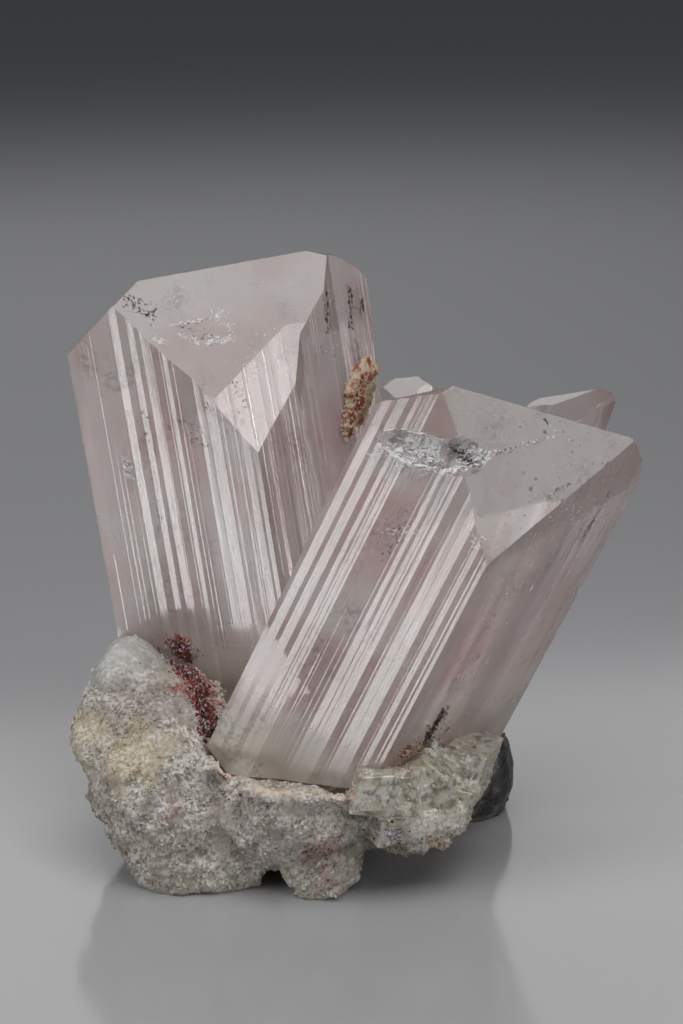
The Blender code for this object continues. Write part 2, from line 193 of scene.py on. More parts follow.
@dataclass(frozen=True)
class DanburiteFinish:
    """Danburite: a glassy, see-through borosilicate with a breath of pink.

    Grown, not worked: its prism faces carry fine growth lines along their length, which
    scatter the light into silky bands, and milky clouds of tiny cracks lie under the skin.
    On the steep faces the bands' sheen is also painted white into the colour.
    Lengths are in millimetres, and heights count along the crystal's own axis.
    """

    pink: str = "#E9CFCD"
    pale: str = "#F4EAE8"
    milk_and_sheen: str = "#F7F6F1"
    foot: str = "#EDE6CE"
    smoke: str = "#8D8884"
    break_shade: str = "#C4C2C2"
    break_white: str = "#FFFFFF"
    absorbed: str = "#F3DEDC"
    density: float = 14.0
    transmission: float = 0.72
    ior: float = 1.63
    line_mm: float = 0.28
    line_stretch: float = 0.06
    wear_scale: Triple = (0.55, 0.55, 0.13)
    cloud_mm: float = 9.0
    blotch_mm: float = 2.4
    dust_mm: float = 0.6
    smoke_mm: float = 7.0
    hollow_mm: float = 1.6
    creamy_from: float = 13.0
    creamy_to: float = -1.0
    dull_from: float = 16.0
    dull_to: float = 7.0
    glassy: float = 0.035
    satin: float = 0.24
    dull: float = 0.42

    def material(self) -> Any:
        """Make the material.

        Returns:
            The danburite material.
        """
        material, tree, shader = new_material("danburite_pale_pink")
        here = add_node(tree, "TexCoord", output="Object")
        grown = add_node(tree, "Attribute", output="Vector", attribute_name="crystal_mm")
        sheen_band, etched, clouded, chipped = (
            add_node(tree, "Attribute", output="Fac", attribute_name=name)
            for name in ("sheen_band", "etched", "clouded", "chipped"))
        height = add_node(tree, "SeparateXYZ", {0: grown}, "Z")

        # Growth lines, about a quarter of a millimetre apart and many millimetres long, lie
        # silky on the steep faces, where they aren't worn; there their sheen is painted white too
        drawn = add_node(tree, "Mapping", {
            "Vector": grown, "Scale": (1.0 / self.line_mm, 1.0 / self.line_mm, self.line_stretch)})
        line = add_node(tree, "TexNoise", {
            "Vector": drawn, "Scale": 1.0, "Detail": 3.0, "Roughness": 0.65})
        line = add_node(tree, "MapRange", {0: line, 1: 0.38, 2: 0.62}, **SMOOTH)
        line = add_node(tree, "MapRange", {0: line, 1: 0.0, 2: 1.0, 3: 0.45, 4: 1.0}, **SMOOTH)
        wear = add_node(tree, "Mapping", {"Vector": grown, "Scale": self.wear_scale})
        wear = add_node(tree, "TexNoise", {
            "Vector": wear, "Scale": 1.0, "Detail": 2.0, "Roughness": 0.6})
        wear = add_node(tree, "MapRange", {0: wear, 1: 0.36, 2: 0.56, 3: 0.35, 4: 1.0}, **SMOOTH)
        silk_and_painted_sheen = add_node(tree, "Math", {0: sheen_band, 1: line}, **TIMES)
        silk_and_painted_sheen = add_node(tree, "Math", {0: silk_and_painted_sheen, 1: wear}, **TIMES)

        # Milky clouds under the skin, and blotches on the clouded end
        cloud = add_node(tree, "TexNoise", patches(here, self.cloud_mm, 3.0))
        cloud = add_node(tree, "MapRange", {0: cloud, 1: 0.46, 2: 0.66, 3: 0.0, 4: 0.6}, **SMOOTH)
        blotch = add_node(tree, "TexNoise", patches(here, self.blotch_mm, 3.0))
        blotch = add_node(tree, "MapRange", {
            0: blotch, 1: 0.36, 2: 0.60, 3: 0.4, 4: 1.0}, **SMOOTH)
        blotch = add_node(tree, "Math", {0: clouded, 1: blotch}, **TIMES)
        # The milky share takes the real clouds and blotches, and the lines' painted sheen
        milky_and_sheen = add_node(tree, "Math", {0: silk_and_painted_sheen, 1: cloud}, **LARGER)
        milky_and_sheen = add_node(tree, "Math", {0: milky_and_sheen, 1: blotch}, **LARGER)

        # Pinker and paler places, then the milk with the painted sheen, and the creamy foot on the
        # matrix
        rosy = add_node(tree, "TexNoise", patches(here, self.cloud_mm * 1.7, 1.0))
        rosy = add_node(tree, "MapRange", {0: rosy, 1: 0.42, 2: 0.60}, **SMOOTH)
        colour = add_node(tree, "Mix", {
            0: rosy, 6: linear(self.pale), 7: linear(self.pink)}, **COLOURS)
        colour = add_node(tree, "Mix", {0: milky_and_sheen, 6: colour, 7: linear(self.milk_and_sheen)}, **COLOURS)
        creamy = add_node(tree, "MapRange", {
            0: height, 1: self.creamy_from, 2: self.creamy_to, 3: 0.0, 4: 0.75}, **SMOOTH)
        colour = add_node(tree, "Mix", {0: creamy, 6: colour, 7: linear(self.foot)}, **COLOURS)

        # Grey mineral dust hangs in smoky patches some millimetres across
        dust = add_node(tree, "TexNoise", patches(here, self.dust_mm, 3.0))
        dust = add_node(tree, "MapRange", {0: dust, 1: 0.46, 2: 0.62, 3: 0.0, 4: 0.55}, **SMOOTH)
        smoky = add_node(tree, "TexNoise", patches(grown, self.smoke_mm / MM, 1.0))
        smoky = add_node(tree, "MapRange", {0: smoky, 1: 0.55, 2: 0.66}, **SMOOTH)
        smoky = add_node(tree, "Math", {0: dust, 1: smoky}, **TIMES)
        colour = add_node(tree, "Mix", {0: smoky, 6: colour, 7: linear(self.smoke)}, **COLOURS)

        # The chip's fresh break is silvery white, with grey hollows
        hollow = add_node(tree, "TexNoise", patches(here, self.hollow_mm, 1.0))
        hollow = add_node(tree, "MapRange", {0: hollow, 1: 0.42, 2: 0.58}, **SMOOTH)
        fresh = add_node(tree, "Mix", {
            0: hollow, 6: linear(self.break_shade), 7: linear(self.break_white)}, **COLOURS)
        colour = add_node(tree, "Mix", {0: chipped, 6: colour, 7: fresh}, **COLOURS)
        tree.links.new(colour, shader.inputs["Base Color"])

        # Glassy between the lines, satin on them and on the etched flank, dull at the foot
        sheen = add_node(tree, "Math", {0: silk_and_painted_sheen, 1: 0.9}, **TIMES)
        sheen = add_node(tree, "Math", {0: sheen, 1: etched}, **LARGER)
        hazy = add_node(tree, "Math", {0: clouded, 1: 0.5}, **TIMES)
        sheen = add_node(tree, "Math", {0: sheen, 1: hazy}, **LARGER)
        sheen = add_node(tree, "MapRange", {0: sheen, 3: self.glassy, 4: self.satin})
        foot = add_node(tree, "MapRange", {
            0: height, 1: self.dull_from, 2: self.dull_to, 3: 0.0, 4: self.dull}, **SMOOTH)
        rough = add_node(tree, "Math", {0: sheen, 1: foot}, **LARGER)
        tree.links.new(rough, shader.inputs["Roughness"])

        shader.inputs["Transmission Weight"].default_value = self.transmission
        shader.inputs["IOR"].default_value = self.ior
        drink = add_node(tree, "VolumeAbsorption", {
            "Color": linear(self.absorbed), "Density": self.density})
        tree.links.new(drink, tree.nodes["Material Output"].inputs["Volume"])
        return material


@dataclass(frozen=True)
class MatrixFinish:
    """Sugary calcite and quartz rock, broken off by hand: dull, with glints on its grains.

    Each zone's colour is laid over the plain sugary white by the zone attributes that the
    matrix and its grains carry. Lengths are in millimetres.
    """

    sugar: str = "#E6E1D8"
    sugar_shade: str = "#A69D92"
    speck: str = "#4B3C33"
    zone_colours: tuple[tuple[Zone, str, str], ...] = (
        # Painted shade: greyer, darker colour where the rock's low parts lie in shadow
        (Zone.SHADE, "#A29B92", "#7A746C"),
        (Zone.QUARTZ, "#D6D5D1", "#B4B3AE"),
        (Zone.MOTTLED, "#CFC5BF", "#9C918B"),
        (Zone.YELLOW, "#E2D6B8", "#C3B391"),
        (Zone.CALCITE, "#E9E4D8", "#C4BDAD"),
        (Zone.SOCKET, "#9C8C7C", "#6F6256"),
        (Zone.RIM, "#E9DACB", "#D2BFAD"),
        (Zone.STAIN, "#C08478", "#8A5145"),
        # The knob's own dark greenish grey, painted darker still as shade
        (Zone.KNOB, "#3C3F3A", "#242623"),
    )
    smooth_zones: tuple[Zone, ...] = (Zone.QUARTZ, Zone.KNOB, Zone.CALCITE)
    clump_mm: float = 3.2
    grain_mm: float = 0.55
    speck_apart_mm: float = 1.5
    speck_patch_mm: float = 4.0
    pit_mm: float = 0.6
    relief_mm: float = 0.16
    sugary_roughness: float = 0.62
    smooth_roughness: float = 0.30
    ior: float = 1.55

    def material(self) -> Any:
        """Make the material.

        Returns:
            The matrix material.
        """
        material, tree, shader = new_material("sugary_calcite_quartz_rock")
        here = add_node(tree, "TexCoord", output="Object")
        share = {zone: add_node(tree, "Attribute", output="Fac", attribute_name=zone.value)
                 for zone in Zone}
        broad = add_node(tree, "TexNoise", patches(here, self.clump_mm, 3.0))
        broad = add_node(tree, "MapRange", {0: broad, 1: 0.40, 2: 0.62}, **SMOOTH)
        fine = add_node(tree, "TexNoise", patches(here, self.grain_mm))
        fine = add_node(tree, "MapRange", {0: fine, 1: 0.36, 2: 0.60}, **SMOOTH)
        mottle = add_node(tree, "Math", {0: broad, 1: 0.35}, **SUM)
        mottle = add_node(tree, "Math", {0: mottle, 1: fine}, **TIMES)
        colour = add_node(tree, "Mix", {
            0: mottle, 6: linear(self.sugar_shade), 7: linear(self.sugar)}, **COLOURS)
        for zone, light, dark in self.zone_colours:
            own = add_node(tree, "Mix", {
                0: mottle, 6: linear(dark), 7: linear(light)}, **COLOURS)
            colour = add_node(tree, "Mix", {0: share[zone], 6: colour, 7: own}, **COLOURS)

        # Scattered brown and black mineral specks, half a millimetre and less
        speck = add_node(tree, "TexVoronoi", packing(here, self.speck_apart_mm))
        speck = add_node(tree, "MapRange", {0: speck, 1: 0.13, 2: 0.07}, **SMOOTH)
        seldom = add_node(tree, "TexNoise", patches(here, self.speck_patch_mm, 1.0))
        seldom = add_node(tree, "MapRange", {0: seldom, 1: 0.56, 2: 0.60}, **SMOOTH)
        speck = add_node(tree, "Math", {0: speck, 1: seldom}, **TIMES)
        colour = add_node(tree, "Mix", {0: speck, 6: colour, 7: linear(self.speck)}, **COLOURS)
        tree.links.new(colour, shader.inputs["Base Color"])

        # Quartz, knob and cleaved calcite are smoother than the sugar
        glassy = share[self.smooth_zones[0]]
        for zone in self.smooth_zones[1:]:
            glassy = add_node(tree, "Math", {0: glassy, 1: share[zone]}, **LARGER)
        rough = add_node(tree, "MapRange", {
            0: glassy, 3: self.sugary_roughness, 4: self.smooth_roughness})
        tree.links.new(rough, shader.inputs["Roughness"])
        grain = add_node(tree, "Bump", {
            "Height": add_node(tree, "TexVoronoi", packing(here, self.pit_mm)),
            "Strength": 0.55, "Distance": self.relief_mm * MM})
        tree.links.new(grain, shader.inputs["Normal"])
        shader.inputs["IOR"].default_value = self.ior
        return material


@dataclass(frozen=True)
class CalciteFinish:
    """Calcite cleaved along its planes: waxy and cloudy, creamy white to greenish yellow.

    Light sinks a millimetre or so into it, which softens its edges.
    """

    light: str = "#D9D5CA"
    cream: str = "#C8BDA3"
    # Its patches are the calcite's own darker tone, deepened as painted shade
    shade: str = "#8A847A"
    cream_mm: float = 3.0
    shade_mm: float = 0.9
    relief_mm: float = 0.08
    glow_mm: float = 1.2
    ior: float = 1.6

    def material(self) -> Any:
        """Make the material.

        Returns:
            The calcite material.
        """
        material, tree, shader = new_material("cleaved_calcite")
        here = add_node(tree, "TexCoord", output="Object")
        broad = add_node(tree, "TexNoise", patches(here, self.cream_mm))
        broad = add_node(tree, "MapRange", {0: broad, 1: 0.40, 2: 0.62}, **SMOOTH)
        fine = add_node(tree, "TexNoise", patches(here, self.shade_mm, 4.0))
        fine = add_node(tree, "MapRange", {0: fine, 1: 0.42, 2: 0.66}, **SMOOTH)
        colour = add_node(tree, "Mix", {
            0: broad, 6: linear(self.light), 7: linear(self.cream)}, **COLOURS)
        # Random darker patches: the calcite's cloudy tone, deepened as painted shade
        colour = add_node(tree, "Mix", {0: fine, 6: colour, 7: linear(self.shade)}, **COLOURS)
        tree.links.new(colour, shader.inputs["Base Color"])
        rough = add_node(tree, "MapRange", {0: fine, 1: 0.0, 2: 1.0, 3: 0.22, 4: 0.5}, **SMOOTH)
        tree.links.new(rough, shader.inputs["Roughness"])
        shader.inputs["IOR"].default_value = self.ior
        shader.inputs["Subsurface Weight"].default_value = 0.25
        shader.inputs["Subsurface Radius"].default_value = (1.0, 0.9, 0.7)
        shader.inputs["Subsurface Scale"].default_value = self.glow_mm * MM
        bump = add_node(tree, "Bump", {
            "Height": fine, "Strength": 0.4, "Distance": self.relief_mm * MM})
        tree.links.new(bump, shader.inputs["Normal"])
        return material


@dataclass(frozen=True)
class CrustFinish:
    """Iron oxides on a clay-like base: dull tan and yellow, rust red in patches."""

    tan: str = "#D2BBA4"
    yellow: str = "#D3C199"
    red: str = "#AE6151"
    dark: str = "#6B4A3C"
    yellow_mm: float = 2.4
    red_mm: float = 1.3
    speck_apart_mm: float = 1.1
    crumb_mm: float = 0.45
    relief_mm: float = 0.15

    def material(self) -> Any:
        """Make the material.

        Returns:
            The crust material.
        """
        material, tree, shader = new_material("iron_stained_crust")
        here = add_node(tree, "TexCoord", output="Object")
        broad = add_node(tree, "TexNoise", patches(here, self.yellow_mm))
        broad = add_node(tree, "MapRange", {0: broad, 1: 0.40, 2: 0.62}, **SMOOTH)
        patch = add_node(tree, "TexNoise", patches(here, self.red_mm, 3.0))
        patch = add_node(tree, "MapRange", {0: patch, 1: 0.50, 2: 0.60}, **SMOOTH)
        speck = add_node(tree, "TexVoronoi", packing(here, self.speck_apart_mm))
        speck = add_node(tree, "MapRange", {0: speck, 1: 0.20, 2: 0.08}, **SMOOTH)
        colour = add_node(tree, "Mix", {
            0: broad, 6: linear(self.tan), 7: linear(self.yellow)}, **COLOURS)
        colour = add_node(tree, "Mix", {0: patch, 6: colour, 7: linear(self.red)}, **COLOURS)
        colour = add_node(tree, "Mix", {0: speck, 6: colour, 7: linear(self.dark)}, **COLOURS)
        tree.links.new(colour, shader.inputs["Base Color"])
        shader.inputs["Roughness"].default_value = 0.7
        bump = add_node(tree, "Bump", {
            "Height": add_node(tree, "TexVoronoi", packing(here, self.crumb_mm)),
            "Strength": 0.7, "Distance": self.relief_mm * MM})
        tree.links.new(bump, shader.inputs["Normal"])
        return material


@dataclass(frozen=True)
class SpeckFinish:
    """The stuff of small bits: mineral dust, oxide crumbs, or a tiny crack's painted glint."""

    name: str
    light: str
    dark: str
    roughness: float
    mottle_mm: float = 0.8
    spread: float = 0.2

    def material(self) -> Any:
        """Make the material.

        Returns:
            A material with a mottled colour and a matching gloss.
        """
        material, tree, shader = new_material(self.name)
        here = add_node(tree, "TexCoord", output="Object")
        share = add_node(tree, "TexNoise", patches(here, self.mottle_mm))
        share = add_node(tree, "MapRange", {0: share, 1: 0.40, 2: 0.60}, **SMOOTH)
        colour = add_node(tree, "Mix", {
            0: share, 6: linear(self.dark), 7: linear(self.light)}, **COLOURS)
        tree.links.new(colour, shader.inputs["Base Color"])
        gloss = add_node(tree, "MapRange", {
            0: share, 1: 0.0, 2: 1.0, 3: self.roughness * (1.0 - self.spread),
            4: self.roughness * (1.0 + self.spread)}, **SMOOTH)
        tree.links.new(gloss, shader.inputs["Roughness"])
        return material


SPECK_FINISHES = {
    # A tiny crack is pure white here: its glint is painted into its colour
    Tone.SPARKLE: SpeckFinish("crack_glint", "#FFFFFF", "#F2F4F4", 0.20),
    Tone.FLECK: SpeckFinish("dark_mineral_dust", "#3C3A38", "#22201F", 0.55),
    Tone.RUST: SpeckFinish("red_iron_oxide", "#A14A3C", "#6E2B24", 0.60),
    Tone.BROWN: SpeckFinish("brown_iron_oxide", "#5A4636", "#2B211B", 0.65),
    Tone.LILAC: SpeckFinish("lilac_white_grain", "#CFC4CC", "#A99DA6", 0.40),
    Tone.TAN: SpeckFinish("tan_clay_crumb", "#DDCBB4", "#C4A686", 0.70),
}


@dataclass(frozen=True)
class TableFinish:
    """A plain pale table top, satin enough to mirror the specimen softly."""

    colour: str = "#B8B8BA"
    roughness: float = 0.13

    def material(self) -> Any:
        """Make the material.

        Returns:
            The table top's material.
        """
        material, _, shader = new_material("satin_table_top")
        shader.inputs["Base Color"].default_value = linear(self.colour)
        shader.inputs["Roughness"].default_value = self.roughness
        return material


# Modelling helpers


def deselect_all() -> None:
    """Leave nothing selected, so that an operator touches only what is picked next."""
    bpy.ops.object.select_all(action="DESELECT")


def pick(thing: Any) -> None:
    """Make one object the only selected and the active one.

    Args:
        thing: The object.
    """
    deselect_all()
    thing.select_set(True)
    bpy.context.view_layer.objects.active = thing


def mesh_object(name: str, mesh: Any) -> Any:
    """Put a mesh into the scene.

    Args:
        name: The new object's name.
        mesh: Its mesh.

    Returns:
        The object.
    """
    thing = bpy.data.objects.new(name, mesh)
    bpy.context.scene.collection.objects.link(thing)
    return thing


def apply_modifier(thing: Any, kind: str, **settings: Any) -> None:
    """Give an object a modifier and apply it.

    Args:
        thing: The object.
        kind: The modifier's type.
        settings: The modifier's own properties.
    """
    pick(thing)
    modifier = thing.modifiers.new(kind.lower(), kind)
    for name, value in settings.items():
        setattr(modifier, name, value)
    bpy.ops.object.modifier_apply(modifier=modifier.name)


def drop(*things: Any) -> None:
    """Remove helper objects from the scene."""
    for thing in things:
        bpy.data.objects.remove(thing, do_unlink=True)


def stand(centre: Triple, turn_z: float, turn_y: float) -> Matrix:
    """Where a shape stands: tipped about Y, turned about Z, and moved to its centre.

    Args:
        centre: Its middle, in millimetres.
        turn_z: How far it is turned, in degrees.
        turn_y: How far it is tipped, in degrees.

    Returns:
        Its place.
    """
    place = Matrix.Translation(Vector(centre) + SHIFT)
    place = place @ Matrix.Rotation(math.radians(turn_z), 4, "Z")
    return place @ Matrix.Rotation(math.radians(turn_y), 4, "Y")


def coordinates(mesh: Any) -> np.ndarray:
    """Read a mesh's points.

    Args:
        mesh: The mesh.

    Returns:
        Rows of x, y and z.
    """
    flat = np.empty(len(mesh.vertices) * 3)
    mesh.vertices.foreach_get("co", flat)
    return flat.reshape(-1, 3)


def set_coordinates(mesh: Any, points: np.ndarray) -> None:
    """Write a mesh's points."""
    mesh.vertices.foreach_set("co", points.astype(np.float32).ravel())
    mesh.update()


def fix_order(mesh: Any) -> None:
    """Put a mesh's points and faces in one fixed order.

    Blender's cuts leave the order to chance, and the random draws that follow would find
    other faces in each run.

    Args:
        mesh: The mesh, in millimetres.
    """
    points = coordinates(mesh)
    order = np.lexsort(np.round(points, 5).T)
    number = np.argsort(order).tolist()
    faces = []
    for face in mesh.polygons:
        ring = [number[vertex] for vertex in face.vertices]
        first = ring.index(min(ring))
        faces.append(ring[first:] + ring[:first])
    mesh.clear_geometry()
    mesh.from_pydata(points[order].tolist(), [], sorted(faces))


def cut_out(thing: Any, cutter: Any) -> None:
    """Take one object's shape out of another's."""
    apply_modifier(thing, "BOOLEAN", operation="DIFFERENCE", solver="EXACT", object=cutter)
    fix_order(thing.data)


def store(mesh: Any, name: str, domain: str, values: np.ndarray) -> None:
    """Keep values with a mesh, for its material to read.

    Args:
        mesh: The mesh.
        name: The attribute's name.
        domain: POINT or FACE.
        values: One value, or one row of three, for each point or face.
    """
    rows = values.ndim > 1
    layer = mesh.attributes.new(name, "FLOAT_VECTOR" if rows else "FLOAT", domain)
    layer.data.foreach_set("vector" if rows else "value", values.astype(np.float32).ravel())


def finish_piece(thing: Any, material: Any, replaces: str | None = None) -> None:
    """Bring a piece to metres, dress it, and tie it to the part's body.

    Args:
        thing: The piece, modelled in millimetres with its place in its mesh.
        material: Its finish.
        replaces: The CAD node that it stands for, if it does.
    """
    set_coordinates(thing.data, coordinates(thing.data) * MM)
    thing.data.materials.clear()
    thing.data.materials.append(material)
    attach(thing, "root")
    if replaces:
        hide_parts(replaces)
    triangles = sum(len(face.vertices) - 2 for face in thing.data.polygons)
    log.info("%s: %d triangles", thing.name, triangles)


def inside_box(points: np.ndarray, spare: float = 0.05) -> np.ndarray:
    """Hold points inside the CAD's box.

    Args:
        points: Rows of x, y and z, in millimetres.
        spare: How far they stay from its sides and its top, in millimetres.

    Returns:
        The points, held.
    """
    low = np.array(CAD_BOX[0]) / MM + (spare, spare, 0.0)
    high = np.array(CAD_BOX[1]) / MM - spare
    return np.clip(points, low, high)


def search_tree(things: Iterable[Any]) -> BVHTree:
    """Make a search tree of several objects' surfaces.

    Args:
        things: The objects.

    Returns:
        The tree, in the objects' own units.
    """
    points: list[Vector] = []
    faces: list[list[int]] = []
    for thing in things:
        start = len(points)
        points += [vert.co.copy() for vert in thing.data.vertices]
        faces += [[start + v for v in face.vertices] for face in thing.data.polygons]
    return BVHTree.FromPolygons(points, faces)


def longest_edge(mesh: Any, face: Any) -> float:
    """Measure the longest edge of a face.

    Args:
        mesh: The face's mesh.
        face: The face.

    Returns:
        The edge's length.
    """
    corners = [mesh.vertices[number].co for number in face.vertices]
    return max((b - a).length for a, b in zip(corners, corners[1:] + corners[:1]))


def node_skin(name: str, node: Any, facet: float) -> Any:
    """Model an even skin over a CAD node's form.

    Args:
        name: The new object's name.
        node: The CAD node.
        facet: The size of the skin's facets, in millimetres.

    Returns:
        The skin's object, in millimetres.
    """
    thing = mesh_object(name, node.data.copy())
    set_coordinates(thing.data, coordinates(thing.data) / MM)
    pick(thing)
    bpy.ops.object.mode_set(mode="EDIT")
    bpy.ops.mesh.select_all(action="SELECT")
    bpy.ops.mesh.remove_doubles(threshold=0.001)
    bpy.ops.object.mode_set(mode="OBJECT")
    apply_modifier(thing, "REMESH", mode="VOXEL", voxel_size=facet)
    return thing


# Crystals

# The chip under the right crystal's top edge: its middle and its reach
CHIP_MIDDLE = Vector((10.7, -22.4, 61.0))
CHIP_REACH = 8.5


@dataclass
class CrystalForm:
    """One chisel-shaped prism, in millimetres and degrees, along its own upright axis.

    Its outline is a rhomb: two corners at plus and minus half_width, a front and a back
    edge, and four flanks between them. A flank's bands are the widths of its growth steps,
    flat and steep in turn, as shares of the flank. The fields that start with line are the
    sizes of the fine growth lines, and those that end in wear say how far an edge is worn.
    """

    name: str
    half_width: float
    front_edge: Pair
    back_edge: Pair
    front_left: Sequence[float]
    front_right: Sequence[float]
    back_right: Sequence[float]
    back_left: Sequence[float]
    ridge: Pair
    front_slope: float
    back_slope: float
    end_cuts: Sequence[tuple[float, float, Triple]]
    foot: float
    foot_cuts: Sequence[tuple[float, float, Triple]]
    stands_at: Triple
    pitch: float
    lean: float
    spin: float
    seed: int
    line_depth: float = 0.035
    line_depth_shares: Pair = (0.3, 1.0)
    line_first: Pair = (0.25, 0.8)
    line_slopes: Pair = (0.12, 0.7)
    line_backs: Pair = (0.06, 0.2)
    line_gaps: Sequence[float] = (0.05, 0.12, 0.3, 0.9, 1.6)
    line_room: float = 0.7
    line_margin: float = 0.1
    ridge_wear: float = 0.10
    front_wear: float = 0.07
    back_wear: float = 0.06

    def band_points(self, start: Pair, end: Pair, bands: Sequence[float]) -> list[Vector]:
        """Points along one flank, from start up to but without end.

        Args:
            start: The flank's first corner.
            end: Its last corner.
            bands: The shares of its flat and steep bands in turn.

        Returns:
            The points between which the bands run.
        """
        width, depth = end[0] - start[0], end[1] - start[1]
        flat_run = math.copysign(FLAT_RUN, depth * width)
        steep_run = (depth / width - flat_run * sum(bands[0::2])) / sum(bands[1::2])
        points, (x, y) = [], start
        for number, share in enumerate(bands):
            points.append(Vector((x, y)))
            x += share * width
            y += share * width * (steep_run if number % 2 else flat_run)
        return points

    def outline(self) -> list[Vector]:
        """Draw the stepped rhomb that the crystal has across its axis.

        Returns:
            Its points, anticlockwise.
        """
        left, right = (-self.half_width, 0.0), (self.half_width, 0.0)
        return (self.band_points(left, self.front_edge, self.front_left)
                + self.band_points(self.front_edge, right, self.front_right)
                + self.band_points(right, self.back_edge, self.back_right)
                + self.band_points(self.back_edge, left, self.back_left))

    def fine_outline(self) -> list[Vector]:
        """Cut fine growth lines into the outline's bands.

        A line is a shallow inward slope and a short way back out, so the faces catch light
        as hair lines. Nothing reaches past the plain outline.

        Returns:
            The points of the outline, anticlockwise.
        """
        draw = random.Random(self.seed)
        plain = self.outline()
        points: list[Vector] = []
        for start, end in zip(plain, plain[1:] + plain[:1]):
            run = end - start
            length = run.length
            inward = Vector((-run.y, run.x)).normalized()
            points.append(start)
            place = draw.uniform(*self.line_first)
            while place + self.line_room < length:
                slope, back = draw.uniform(*self.line_slopes), draw.uniform(*self.line_backs)
                if place + slope + back + self.line_margin > length:
                    break
                dip = draw.uniform(*self.line_depth_shares) * self.line_depth
                points.append(start + run * (place / length))
                points.append(start + run * ((place + slope) / length) + inward * dip)
                points.append(start + run * ((place + slope + back) / length))
                place += slope + back + draw.choice(self.line_gaps)
        return points

    def grown(self, gap: float) -> list[Vector]:
        """Draw the outline without its inward steps, moved outwards.

        Args:
            gap: How far it is moved.

        Returns:
            The points of the outline, anticlockwise.
        """
        points = self.outline()
        points = [points[number] for number in convex_hull_2d(points)]
        if sum(a.cross(b) for a, b in zip(points, points[1:] + points[:1])) < 0.0:
            points.reverse()
        moved = []
        for number, point in enumerate(points):
            before = point - points[number - 1]
            after = points[(number + 1) % len(points)] - point
            out_before = Vector((before.y, -before.x)).normalized()
            out_after = Vector((after.y, -after.x)).normalized()
            # A sharp corner's point would run far out, so its share has a least value
            share = max(1.0 + out_before.dot(out_after), 0.5)
            moved.append(point + (out_before + out_after) * (gap / share))
        return moved

    def planes(self, gap: float) -> list[tuple[Vector, Vector]]:
        """Find the planes that cut the wedge end and the foot.

        Args:
            gap: How far they are moved outwards.

        Returns:
            Each plane's outward normal and a point on it.
        """
        front = math.tan(math.radians(self.front_slope))
        back = -math.tan(math.radians(self.back_slope))
        top = (0.0, *self.ridge)
        found = []
        for rise_x, rise_y, point in ((0.0, front, top), (0.0, back, top), *self.end_cuts):
            normal = Vector((-rise_x, -rise_y, 1.0)).normalized()
            found.append((normal, Vector(point) + normal * gap))
        for rise_x, rise_y, point in self.foot_cuts:
            normal = Vector((rise_x, rise_y, -1.0)).normalized()
            found.append((normal, Vector(point) + normal * gap))
        return found

    def worn_edges(self) -> list[tuple[Vector, Vector]]:
        """Find narrow planes that take the edge off the wedge's ridge and shoulders.

        Returns:
            Each plane's outward normal and a point on it.
        """
        front, back, *ends = self.planes(0.0)[:2 + len(self.end_cuts)]
        pairs = [(front, back, self.ridge_wear)]
        pairs += [(front, end, self.front_wear) for end in ends]
        pairs += [(back, end, self.back_wear) for end in ends]
        found = []
        for (n1, p1), (n2, p2), wear in pairs:
            along = n1.cross(n2)
            # Two planes that run nearly level have no edge to wear
            if along.length < 0.05:
                continue
            rows = Matrix((n1, n2, along))
            on_edge = rows.inverted() @ Vector((n1.dot(p1), n2.dot(p2), 0.0))
            normal = (n1 + n2).normalized()
            found.append((normal, on_edge - normal * wear))
        return found

    def solid(self, gap: float = 0.0) -> Any:
        """Extrude the outline along the axis, cut the end and the foot, and place it.

        Args:
            gap: How much larger all round; with one, it is the plain cutter for neighbours.

        Returns:
            The object, in millimetres, with its place in its mesh.
        """
        points = self.grown(gap) if gap else self.fine_outline()
        bottom = self.foot - gap
        above_ridge = 2.0
        deselect_all()
        bpy.ops.mesh.primitive_circle_add(
            vertices=len(points), radius=1.0, fill_type="NGON", location=(0.0, 0.0, 0.0))
        thing = bpy.context.object
        thing.name = self.name + ("_socket" if gap else "_clear")
        for vert, point in zip(thing.data.vertices, points):
            vert.co = (point.x, point.y, bottom)
        bpy.ops.object.mode_set(mode="EDIT")
        bpy.ops.mesh.select_all(action="SELECT")
        rise = (0.0, 0.0, self.ridge[1] + above_ridge - bottom)
        bpy.ops.mesh.extrude_region_move(TRANSFORM_OT_translate={"value": rise})
        for normal, point in self.planes(gap) + ([] if gap else self.worn_edges()):
            bpy.ops.mesh.select_all(action="SELECT")
            bpy.ops.mesh.bisect(
                plane_co=point, plane_no=normal, use_fill=True, clear_outer=True,
                threshold=1e-5)
        bpy.ops.mesh.select_all(action="SELECT")
        bpy.ops.mesh.normals_make_consistent(inside=False)
        bpy.ops.object.mode_set(mode="OBJECT")
        thing.data.transform(self.place())
        fix_order(thing.data)
        return thing

    def place(self) -> Matrix:
        """Find where the crystal stands: turned about its axis, leaned aside, then tipped.

        Returns:
            Its place.
        """
        turns = Matrix.Rotation(math.radians(-self.pitch), 4, "X")
        turns = turns @ Matrix.Rotation(math.radians(self.lean), 4, "Y")
        turns = turns @ Matrix.Rotation(math.radians(self.spin), 4, "Z")
        return Matrix.Translation(Vector(self.stands_at) + SHIFT) @ turns

